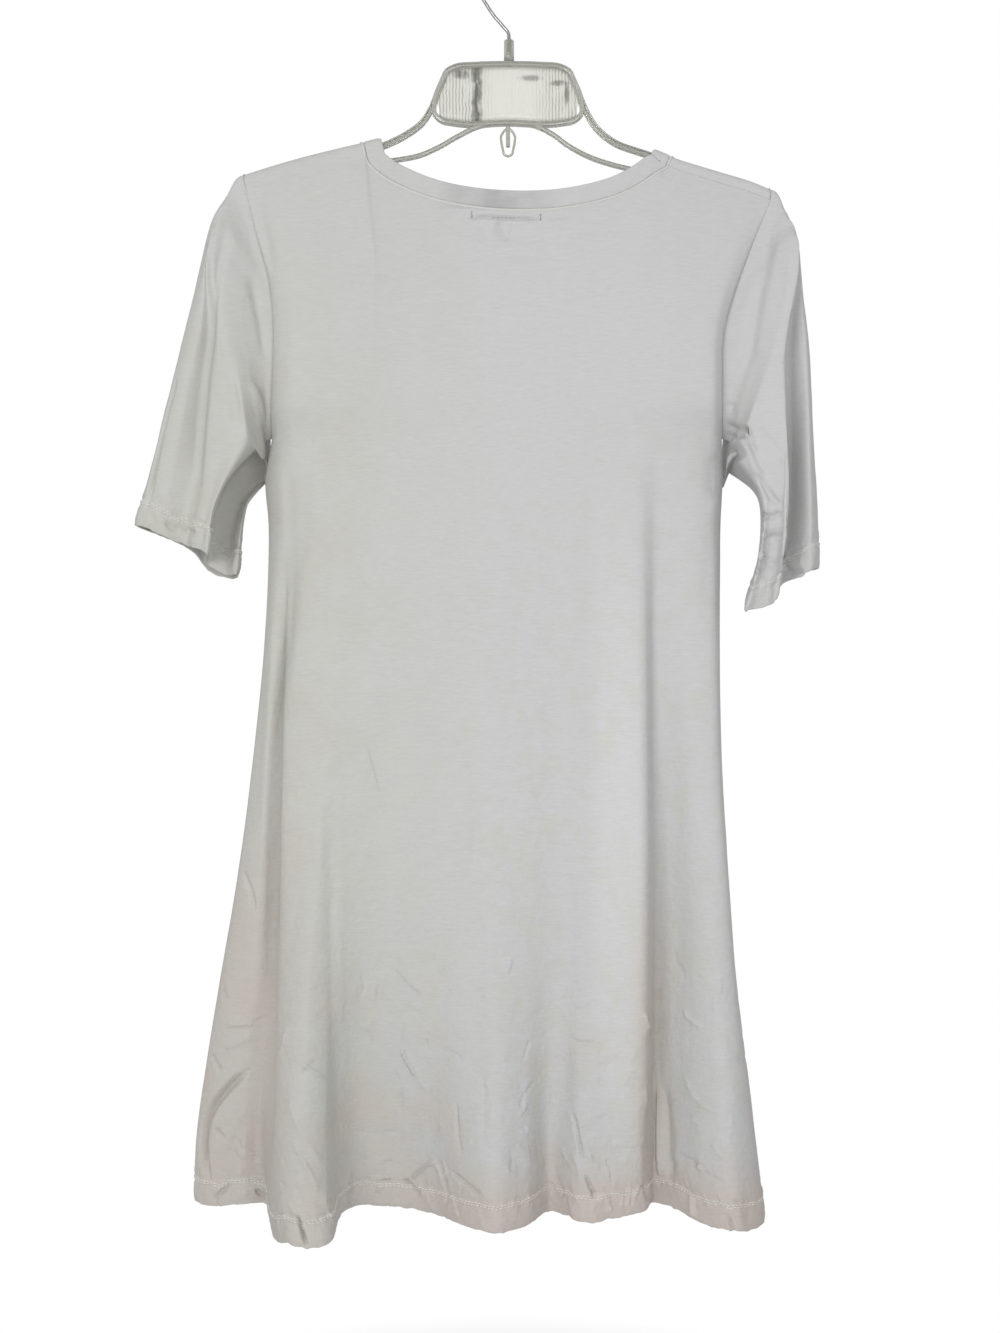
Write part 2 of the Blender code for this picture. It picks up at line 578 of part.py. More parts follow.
def plate(name, outline, deep, finish, collection, hole=None, bevel=0.8):
    """A flat piece in the X-Z plane with its outline given, and its edges rounded."""
    curve = bpy.data.curves.new(name, "CURVE")
    curve.dimensions = "2D"
    curve.fill_mode = "BOTH"
    for points in [outline] + ([hole] if hole is not None else []):
        spline = curve.splines.new("POLY")
        spline.points.add(len(points) - 1)
        for target, (x, z) in zip(spline.points, points):
            target.co = (x * MM, z * MM, 0.0, 1.0)
        spline.use_cyclic_u = True
    curve.extrude = (deep / 2 - bevel) * MM
    curve.bevel_depth = bevel * MM
    curve.bevel_resolution = 0
    curve.offset = -bevel * MM
    obj = put(name, curve, finish, collection)
    obj.rotation_euler = (math.pi / 2, 0.0, 0.0)
    return obj


def wire(name, points, radius, finish, collection):
    curve = bpy.data.curves.new(name, "CURVE")
    curve.dimensions = "3D"
    spline = curve.splines.new("POLY")
    spline.points.add(len(points) - 1)
    for target, point in zip(spline.points, points):
        target.co = (*(np.asarray(point, float) * MM), 1.0)
    curve.bevel_depth = radius * MM
    curve.bevel_resolution = 2
    curve.use_fill_caps = True
    return put(name, curve, finish, collection)


def as_mesh(obj, collection):
    """The same piece as a mesh with its caps joined, ready for a Boolean."""
    graph = bpy.context.evaluated_depsgraph_get()
    mesh = bpy.data.meshes.new_from_object(obj.evaluated_get(graph))
    work = bmesh.new()
    work.from_mesh(mesh)
    bmesh.ops.remove_doubles(work, verts=work.verts, dist=1e-6)
    bmesh.ops.recalc_face_normals(work, faces=work.faces)
    work.to_mesh(mesh)
    work.free()
    made = bpy.data.objects.new(obj.name + "_mesh", mesh)
    made.matrix_world = obj.matrix_world
    collection.objects.link(made)
    bpy.data.objects.remove(obj)
    return made


def join(name, pieces, parts):
    """One solid from several that run into each other."""
    base = pieces[0]
    base.name = name
    for other in pieces[1:]:
        union = base.modifiers.new("join", "BOOLEAN")
        union.operation = "UNION"
        union.object = other
        other.hide_render = True
        other.display_type = "WIRE"
        for held in list(other.users_collection):
            held.objects.unlink(other)
        parts["helpers"].objects.link(other)
    return base


# ---------------------------------------------------------------- hanger


def mirrored(half):
    """A closed outline from its right half, which runs from the top middle to the bottom middle."""
    half = [tuple(p) for p in half]
    return half + [(-x, z) for x, z in half[::-1] if abs(x) > 1e-6]


def shrunk(outline, by):
    """The outline moved inwards."""
    points = np.asarray(outline, float)
    ahead = np.roll(points, -1, axis=0) - points
    ahead /= np.linalg.norm(ahead, axis=1)[:, None]
    behind = np.roll(ahead, 1, axis=0)
    turn = (ahead + behind) / np.linalg.norm(ahead + behind, axis=1)[:, None]
    inward = np.stack([turn[:, 1], -turn[:, 0]], axis=1)
    return points + inward * by / np.sqrt((1 + (ahead * behind).sum(axis=1)) / 2)[:, None]


def arm(start, side, end):
    """The rail's middle line from the plate's side to the shoulder's end."""
    table = SHOULDER_LEFT if side < 0 else SHOULDER_RIGHT
    xs = [x for x, _ in table if abs(x) < abs(end) - 5 and abs(x) > 100]
    xs = sorted(xs, key=abs) + [end]
    under = [(x, ridge(x) - RAIL_UNDER_CLOTH - RAIL_HIGH / 2) for x in xs]
    return through(list(start) + under, 17)


def build_hanger(parts, finishes):
    clear = finishes["clear plastic"]
    outline = mirrored(through(PLATE, 15))
    rim = plate("plate", outline, PLATE_DEEP, clear, parts["dress"], hole=shrunk(outline, PLATE_RIM))
    left = strip("rail_left", arm(RAIL_LEFT, -1, ARM_END_LEFT), RAIL_HIGH, RAIL_DEEP, clear, parts["dress"])
    right = strip("rail_right", arm(RAIL_RIGHT, 1, ARM_END_RIGHT), RAIL_HIGH, RAIL_DEEP, clear, parts["dress"])
    bow_line = np.concatenate([through(BOW_LEFT, 13)[::-1], through(BOW_RIGHT, 13)[1:]])
    bow = strip("bow", bow_line, BOW_HIGH, BOW_DEEP, clear, parts["dress"])
    pieces = [as_mesh(piece, parts["dress"]) for piece in (rim, left, right, bow)]
    join("hanger_body", pieces, parts)

    window = shrunk(outline, PLATE_RIM + 0.3)
    plate("hanger_window", window, WINDOW_THICK, finishes["ribbed plastic"], parts["dress"], bevel=0.4)


def build_clip(parts, finishes):
    """The small clip under the plate: a rod inside a bulb-shaped loop."""
    clear = finishes["clear plastic"]
    half = np.array(CLIP_HALF)
    outline = np.concatenate([half, (half * (-1, 1))[::-1][1:]])
    line = through(outline, 19)
    loop = wire("clip_loop", [(x, 0.0, z) for x, z in line], CLIP_WIRE, clear, parts["dress"])
    rod = wire("clip_rod", [(0.0, 0.0, z) for z in CLIP_ROD_ENDS], CLIP_ROD, clear, parts["dress"])
    join("hanger_clip", [as_mesh(piece, parts["dress"]) for piece in (rod, loop)], parts)


def build_hook(parts, finishes):
    """Wire hook: it leaves the stem to the left, arches over the rail and ends on the right."""
    turns = np.radians(np.linspace(*HOOK_TURN, 17))
    arch = [(HOOK_ARCH * math.cos(a), WIRE + HOOK_ARCH * (math.sin(a) - 1)) for a in turns]
    bend = through([arch[-1], *HOOK_BEND], 11)[1:]
    line = [*arch, *bend, (HOOK_BEND[-1][0], STEM_BOTTOM)]
    wire("hook", [(x, 0.0, z) for x, z in line], WIRE, finishes["steel wire"], parts["dress"])

    profile = bpy.data.meshes.new("hook_sleeve")
    inside, outside = WIRE + SEAM_GAP, SLEEVE_RADIUS
    corners = [(outside, SLEEVE_TOP), (outside, SLEEVE_BOTTOM), (inside, SLEEVE_BOTTOM), (inside, SLEEVE_TOP)]
    edges = [(k, (k + 1) % 4) for k in range(4)]
    profile.from_pydata([(x * MM, 0.0, z * MM) for x, z in corners], edges, [])
    obj = put("hook_sleeve", profile, finishes["clear plastic"], parts["dress"])
    obj.location.x = HOOK_BEND[-1][0] * MM
    turned = obj.modifiers.new("turn", "SCREW")
    turned.steps = turned.render_steps = 24
    turned.use_merge_vertices = True
    turned.merge_threshold = 0.00001


def main():
    for obj in list(bpy.data.objects):
        bpy.data.objects.remove(obj)
    parts = {}
    for key, name in (("dress", "t_shirt_dress"), ("helpers", "helpers")):
        parts[key] = bpy.data.collections.new(name)
        bpy.context.scene.collection.children.link(parts[key])
    parts["helpers"].hide_render = True
    finishes = {
        "jersey": material("pale_grey_jersey", (0.56, 0.56, 0.55), 0.85),
        "clear plastic": material("clear_plastic", (0.95, 0.96, 0.94), 0.08, clear=1.0),
        "ribbed plastic": material("ribbed_plastic", (0.92, 0.92, 0.88), 0.3, clear=0.8),
        "steel wire": material("steel_wire", (0.45, 0.44, 0.43), 0.25, metallic=1.0),
    }

    panels = {-1: panel(-1, BACK_FOLDS, NECK_BACK), 1: panel(1, FRONT_FOLDS, NECK_FRONT)}
    for side, name in ((-1, "back_panel"), (1, "front_panel")):
        points, on_neck = panels[side]
        cloth(
            name,
            points.reshape(-1, 3),
            panel_faces(points, on_neck, side),
            finishes["jersey"],
            parts["dress"],
            WALL,
            hem=lambda co: co.z < HEM + HEM_TURN,
        )
    sleeves = (("sleeve_left", 0, SLEEVE_LEFT, FOLDS_LEFT), ("sleeve_right", -1, SLEEVE_RIGHT, FOLDS_RIGHT))
    for name, column, sections, folds in sleeves:
        rings = sleeve(panels, column, sections, folds)
        faces = tube_faces(*rings.shape[:2], -1 if column == 0 else 1)
        cloth(name, rings.reshape(-1, 3), faces, finishes["jersey"], parts["dress"], WALL)
    rings = neck_band(panels)
    faces = tube_faces(*rings.shape[:2], 1)
    cloth("neck_band", rings.reshape(-1, 3), faces, finishes["jersey"], parts["dress"], BAND_WALL)

    build_hanger(parts, finishes)
    build_clip(parts, finishes)
    build_hook(parts, finishes)


main()
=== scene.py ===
import math

import bpy
import numpy as np
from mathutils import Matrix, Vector, noise


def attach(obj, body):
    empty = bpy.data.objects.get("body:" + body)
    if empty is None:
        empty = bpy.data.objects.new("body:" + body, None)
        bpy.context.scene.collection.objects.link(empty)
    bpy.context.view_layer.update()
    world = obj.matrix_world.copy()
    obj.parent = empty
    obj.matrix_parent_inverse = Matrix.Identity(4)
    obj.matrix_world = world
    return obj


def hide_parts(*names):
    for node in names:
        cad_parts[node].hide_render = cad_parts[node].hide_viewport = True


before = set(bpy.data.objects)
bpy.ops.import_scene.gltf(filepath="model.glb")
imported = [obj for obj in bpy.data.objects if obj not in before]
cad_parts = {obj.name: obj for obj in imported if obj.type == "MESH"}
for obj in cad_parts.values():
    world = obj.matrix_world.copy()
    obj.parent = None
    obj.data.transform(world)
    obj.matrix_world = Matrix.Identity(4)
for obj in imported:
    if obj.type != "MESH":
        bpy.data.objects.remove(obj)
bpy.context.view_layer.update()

# A jersey t-shirt dress on a clear hanger, with its back towards -Y: the looks of every piece.
# Tables are in millimetres, and heights count down from where the hook rests on its rail.
mm = 0.001

dress = {
    "wall": 1.0,  # one layer of jersey
    "seamGap": 0.12,  # between two pieces that are sewn together
    "hemTurn": 20.0,  # how far hems are turned up
    "hemFold": 1.15,  # radius of the fold at a hem
    "capRadius": 6.3,  # how tightly the shoulders bend over the hanger
    "heights": (-389.0, -592.0, -830.0, -1003.0),  # armpit, waist, thigh, hem
    # height, left side, right side
    "sides": (
        (-389.0, -190.5, 173.0),
        (-424.0, -196.0, 173.5),
        (-455.0, -193.5, 172.0),
        (-503.0, -194.0, 171.5),
        (-568.0, -198.0, 171.5),
        (-633.0, -204.5, 172.5),
        (-697.0, -212.0, 175.5),
        (-762.0, -221.5, 179.5),
        (-827.0, -232.5, 184.5),
        (-892.0, -243.0, 192.0),
        (-957.0, -251.5, 200.0),
        (-1003.0, -252.5, 205.0),
    ),
    # fold line, share of the width at the four heights (%), depth there, fall of the hem
    "backFolds": (
        ("side seam left", 0.0, 0.0, 0.0, 0.0, 0, 0, 0, 0, 1),
        ("beside left seam", 0.15, 0.15, 0.15, 0.15, 6, 6, 6, 6, 0),
        ("left face outer", 2.0, 1.4, 2.6, 3.2, 17, 13, 15, 14, -1),
        ("left face inner", 5.5, 3.0, 6.8, 9.2, 27, 21, 23, 20, 2),
        ("left valley", 10.5, 5.0, 9.8, 13.1, 31, 26, 24, 19, 1),
        ("left ridge edge", 13.5, 8.0, 12.2, 15.5, 32, 37, 47, 60, -10),
        ("left ridge crest", 17.5, 12.0, 14.9, 18.5, 33, 42, 61, 90, -4),
        ("left ridge top", 22.0, 17.0, 18.6, 22.3, 33, 43, 70, 97, -5),
        ("left ridge fall", 26.0, 21.5, 22.4, 25.8, 33, 41, 61, 86, -4),
        ("left ridge foot", 29.5, 25.5, 25.6, 26.4, 33, 41, 48, 44, 0),
        ("left panel valley", 33.5, 30.0, 30.0, 28.8, 34, 40, 40, 21, 1),
        ("left panel", 38.0, 35.5, 36.0, 35.5, 34, 41, 39, 18, -1),
        ("left panel rise", 42.5, 41.0, 42.0, 42.0, 34, 41, 43, 32, -1),
        ("middle ridge rise", 47.5, 46.5, 47.5, 47.5, 34, 42, 50, 62, 0),
        ("middle ridge crest", 53.0, 52.5, 53.5, 53.0, 34, 42, 56, 82, 1),
        ("middle ridge fall", 58.5, 58.5, 59.0, 58.4, 34, 41, 50, 65, 1),
        ("middle valley", 64.0, 64.0, 64.0, 62.5, 34, 40, 41, 33, 1),
        ("right panel rise", 70.0, 69.5, 69.5, 67.5, 33, 41, 48, 58, 1),
        ("right panel crest", 75.0, 75.0, 74.5, 72.8, 33, 41, 49, 48, 0),
        ("right rib", 80.5, 82.2, 81.1, 78.5, 33, 42, 50, 30, 0),
        ("right valley", 84.5, 85.0, 83.8, 81.0, 32, 26, 16, 9, 0),
        ("right valley wall", 87.5, 88.2, 87.2, 84.4, 31, 27, 22, 31, 1),
        ("right ridge rise", 91.5, 92.0, 91.2, 88.0, 28, 32, 38, 56, -1),
        ("right ridge crest", 95.0, 95.4, 94.6, 92.4, 25, 33, 46, 73, 0),
        ("right ridge fall", 97.6, 97.9, 97.5, 95.8, 21, 30, 43, 65, -3),
        ("right face", 99.2, 99.3, 99.2, 98.7, 12, 20, 32, 45, -5),
        ("beside right seam", 99.85, 99.85, 99.85, 99.85, 5, 6, 9, 18, -6),
        ("side seam right", 100.0, 100.0, 100.0, 100.0, 0, 0, 3, 12, -6),
    ),
    "frontFolds": (
        ("side seam left", 0.0, 0.0, 0.0, 0.0, 0, 0, 0, 0, 1),
        ("beside left seam", 0.15, 0.15, 0.15, 0.15, 5, 5, 6, 7, 1),
        ("left face outer", 2.0, 2.0, 2.5, 2.5, 12, 14, 15, 18, 0),
        ("left face inner", 6.0, 6.0, 7.5, 8.0, 20, 24, 27, 33, -1),
        ("left ridge rise", 11.0, 11.0, 12.5, 13.5, 24, 32, 43, 58, -3),
        ("left ridge crest", 17.0, 16.5, 18.0, 19.0, 26, 36, 53, 80, -5),
        ("left ridge fall", 23.0, 22.5, 23.5, 25.0, 27, 36, 46, 62, -3),
        ("left valley", 30.0, 29.5, 30.0, 31.0, 28, 34, 34, 28, 0),
        ("middle ridge rise", 37.0, 37.0, 37.0, 37.0, 28, 36, 44, 52, -2),
        ("middle ridge crest", 43.5, 43.0, 43.0, 43.0, 28, 37, 53, 77, -4),
        ("middle ridge fall", 49.5, 49.0, 49.0, 48.5, 28, 36, 44, 54, -2),
        ("middle valley", 55.5, 55.0, 55.0, 54.0, 28, 34, 34, 27, 0),
        ("right panel rise", 61.0, 61.0, 60.5, 60.0, 28, 35, 43, 48, -1),
        ("right panel crest", 67.0, 67.0, 66.0, 66.0, 28, 36, 52, 74, -3),
        ("right panel fall", 73.0, 72.5, 71.5, 71.0, 27, 35, 44, 52, -2),
        ("right valley", 79.0, 78.0, 77.0, 76.0, 26, 32, 32, 24, 0),
        ("right ridge rise", 84.5, 84.0, 83.0, 82.0, 25, 34, 44, 55, -2),
        ("right ridge crest", 90.0, 89.5, 88.5, 88.0, 23, 34, 50, 72, -4),
        ("right ridge fall", 95.0, 94.5, 94.0, 93.5, 17, 26, 37, 50, -4),
        ("right face", 98.5, 98.5, 98.0, 98.0, 8, 13, 18, 20, -5),
        ("beside right seam", 99.85, 99.85, 99.85, 99.85, 5, 5, 2, -6, -6),
        ("side seam right", 100.0, 100.0, 100.0, 100.0, 0, 0, -3, -12, -6),
    ),
    # top of the shoulders: place, height
    "shoulders": {
        -1: ((-214.0, -175.0), (-200.0, -170.5), (-168.0, -161.0), (-136.0, -153.0), (-96.0, -144.0)),
        1: ((112.0, -152.0), (136.0, -161.5), (168.0, -171.5), (200.0, -181.5), (213.0, -187.0)),
    },
    "tips": (-213.0, 211.0),  # where the sleeves are set in, at the top
    "seamDownBack": {-1: 3.0, 1: 14.0},  # how far the shoulder seams lie down the back
    # armholes: share of the way to the armpit, left place, right place, depth
    "armholes": (
        (0.00, -213.0, 211.0, 6.5),
        (0.22, -201.5, 193.5, 12.0),
        (0.42, -190.0, 179.5, 17.0),
        (0.56, -187.0, 172.0, 20.0),
        (0.78, -187.5, 170.5, 20.0),
        (0.93, -189.5, 171.5, 12.0),
        (1.00, -190.5, 173.0, 0.0),
    ),
    # how finely the cloth is divided at most, all in multiples of four: rows over the shoulders,
    # rows down the chest (to a share of its length), rows of the skirt (to a height), columns
    "capRows": {-1: 8, 1: 12},
    "chestRows": ((0.10, 16), (0.42, 40), (1.0, 32)),
    "skirtRows": {
        -1: ((-640.0, 100), (-830.0, 96), (-967.0, 100), (-1003.0, 32)),
        1: ((-640.0, 72), (-830.0, 64), (-967.0, 64), (-1003.0, 28)),
    },
    "columnStep": {-1: 5.2, 1: 6.4},
    # cloth is divided where it would otherwise stray this far from its form
    "closeness": {-1: (0.335, 0.167), 1: (0.30, 0.15)},
    "sleeveCloseness": (0.16, 0.08),
    "hemFall": 3,  # the falls of the hem fade upwards with this power of the height
    "chestFill": 1.8,  # the greater, the higher up the chest has its full depth
    "armholeReach": 5,  # the greater, the nearer to an armhole the panel bends in to it
    "pitEase": 12.0,  # over what height the chest runs into the skirt
    "calmTop": (250, 400, 0.25),  # soft waves: from this depth down, over that length, their share above
    "calmSides": (9.0, 4.0),  # how near to a side seam the creases and the hem's relief die away
    "calmShoulder": 8,  # rows below the shoulder's top in which they do
    "calmArmhole": 12.0,  # how near to an armhole they do on a sleeve
    # the cloth's soft unevenness: length of its waves along each axis, height, shift of the seed
    "softWaves": (((26.0, 40.0, 120.0), 0.9, 0), ((17.0, 30.0, 24.0), 0.28, 9)),
    "sleeveWaves": (((16.0, 24.0, 70.0), 0.9, 0), ((11.0, 15.0, 14.0), 0.25, 5)),
}
chestRows = sum(count for _, count in dress["chestRows"])
pit, hem = dress["heights"][0], dress["heights"][-1]

neck = {
    "ends": (-118.0, 132.5),  # where the band crosses the top of the shoulders
    "lean": {-1: 0.25, 1: 0.39},  # how much it leans inwards on the way down
    # the seam between the shoulders: place, height, depth
    -1: (
        (-112.0, -166.5, 7.5),
        (-101.5, -176.5, 8.5),
        (-83.0, -187.0, 9.5),
        (-60.0, -195.8, 10.5),
        (-29.0, -202.3, 11.0),
        (8.0, -205.0, 11.0),
        (42.0, -203.5, 11.0),
        (67.0, -199.0, 10.5),
        (90.0, -192.0, 10.0),
        (107.0, -183.0, 9.0),
        (119.0, -174.5, 8.0),
    ),
    1: (
        (-114.0, -176.0, 8.0),
        (-104.0, -202.0, 10.0),
        (-84.0, -228.0, 12.0),
        (-52.0, -247.0, 14.0),
        (6.0, -256.0, 15.0),
        (64.0, -249.0, 14.0),
        (98.0, -231.0, 12.0),
        (117.0, -206.0, 10.0),
        (125.0, -186.0, 8.0),
    ),
    "bandEase": 5.0,  # over what length the band's direction turns
    # across the folded strip, from the seam to the free edge and back inside: reach, height
    "bandProfile": (
        (0.12, -0.75), (0.2, -0.35), (0.8, 0.05), (1.9, 0.4), (3.6, 0.5), (6.2, 0.42), (9.0, 0.4),
        (11.6, 0.36), (13.4, 0.2), (14.4, -0.1), (14.8, -0.75), (14.5, -1.35), (13.6, -1.75),
        (11.5, -1.95), (8.0, -2.0), (4.5, -2.0), (1.6, -1.95),
    ),
    "bandMiddle": 7.0,  # reach of the middle of the strip
    "bandWall": 0.8,
    # the ridge where the seam allowance is stitched down beside the band
    "weltProfile": (
        (-0.05, -0.4), (-0.2, 0.35), (-0.6, 0.85), (-1.2, 1.0), (-1.8, 0.8), (-2.3, 0.2),
        (-2.45, -0.4), (-1.2, -0.5),
    ),
}

sleeves = {
    "lip": (4.0, 0.35, 0.02),  # a sleeve runs level first: how far, its fall, its place
    "untwist": 1.6,  # how soon its sections no longer follow the armhole's points
    "cuffFall": 8,  # the falls of the cuff fade upwards with this power of the place
    "rings": 200,
    "columns": 240,
    -1: {
        # section, place along the sleeve, outer edge x z, underarm x z
        "sections": (
            ("head", 0.10, -227.5, -194.0, -196.0, -397.0),
            ("upper", 0.42, -254.5, -281.0, -201.0, -410.0),
            ("lower", 0.72, -277.5, -374.0, -214.0, -446.0),
            ("wrist", 0.88, -289.0, -419.0, -217.5, -468.0),
            ("cuff", 1.00, -300.0, -459.0, -221.0, -490.0),
        ),
        # fold line, way round (%), share of the width x5 (%), depth x5, fall of the cuff
        "folds": (
            ("outer edge", 0, 0, 0, 0, 0, 0, 0, 0, 0, 0, 0, 0),
            ("outer strip", 5, 3, 3, 4, 4, 4, 12, 19, 22, 22, 20, 1),
            ("outer crease", 9, 9, 9, 11, 12, 13, 18, 26, 28, 27, 25, 2),
            ("back outer", 15, 15, 18, 24, 27, 30, 22, 30, 32, 31, 29, 1),
            ("back valley", 23, 24, 31, 45, 50, 55, 24, 28, 25, 24, 23, 1),
            ("back panel", 30, 40, 46, 60, 63, 65, 29, 37, 35, 34, 31, 1),
            ("near fold rise", 37, 64, 71, 73, 71, 73, 31, 39, 38, 36, 33, 1),
            ("near fold", 43, 86, 92, 83, 78, 80, 28, 38, 38, 36, 33, 1),
            ("near turn", 46, 98, 93, 79, 74, 76, 13, 20, 18, 16, 13, 0),
            ("recess", 51, 102, 92, 72, 67, 69, -4, -14, -15, -14, -14, -8),
            ("far turn", 55, 104, 103, 89, 86, 87, -12, -24, -20, -16, -15, -11),
            ("far fold", 59, 104, 105, 99, 99, 99, -19, -29, -6, -3, -4, -7),
            ("front inner edge", 65, 90, 92, 95, 95, 95, -22, -32, -27, -26, -26, -11),
            ("front inner", 72, 67, 69, 72, 70, 69, -25, -35, -38, -38, -37, -14),
            ("front middle", 80, 45, 47, 50, 48, 48, -25, -33, -37, -38, -37, -3),
            ("front outer", 89, 22, 22, 25, 25, 25, -20, -28, -30, -30, -28, 0),
            ("front outer edge", 96, 6, 5, 6, 6, 6, -10, -14, -15, -15, -14, 0),
        ),
    },
    1: {
        "sections": (
            ("head", 0.10, 223.5, -203.0, 178.0, -397.0),
            ("upper", 0.42, 240.0, -290.0, 181.0, -410.0),
            ("lower", 0.72, 247.5, -385.0, 201.0, -450.0),
            ("wrist", 0.88, 250.5, -448.0, 199.5, -488.0),
            ("cuff", 1.00, 252.0, -492.0, 189.0, -523.0),
        ),
        "folds": (
            ("outer edge", 0, 0, 0, 0, 0, 0, 0, 0, 0, 0, 0, 0),
            ("outer strip", 6, 4, 6, 17, 19, 18, 12, 19, 25, 25, 23, 2),
            ("outer valley", 13, 10, 25, 44, 50, 48, 17, 16, 8, 4, 6, 2),
            ("fold foot", 18, 14, 34, 55, 63, 60, 21, 22, 11, 7, 9, -2),
            ("fold edge", 23, 20, 38, 58, 67, 65, 26, 40, 45, 43, 38, -6),
            ("back panel", 30, 38, 55, 71, 78, 76, 30, 44, 47, 38, 33, -9),
            ("near fold rise", 38, 62, 77, 90, 95, 92, 31, 42, 43, 39, 34, -6),
            ("near fold", 44, 88, 97, 102, 107, 104, 25, 38, 41, 41, 36, -4),
            ("underarm", 50, 102, 98, 95, 100, 98, 3, 6, 12, 11, 9, -1),
            ("far fold", 56, 105, 101, 88, 90, 91, -18, -27, -14, -10, -8, 0),
            ("front inner", 64, 84, 86, 78, 80, 82, -24, -34, -34, -32, -29, 1),
            ("front middle", 74, 52, 56, 60, 60, 60, -27, -40, -44, -44, -40, 0),
            ("front outer", 84, 28, 32, 34, 34, 34, -24, -36, -42, -42, -38, 0),
            ("front outer edge", 94, 8, 9, 10, 10, 10, -13, -18, -20, -20, -18, 0),
        ),
    },
}

creaseLift = 1.9  # makes all the creases deeper or shallower

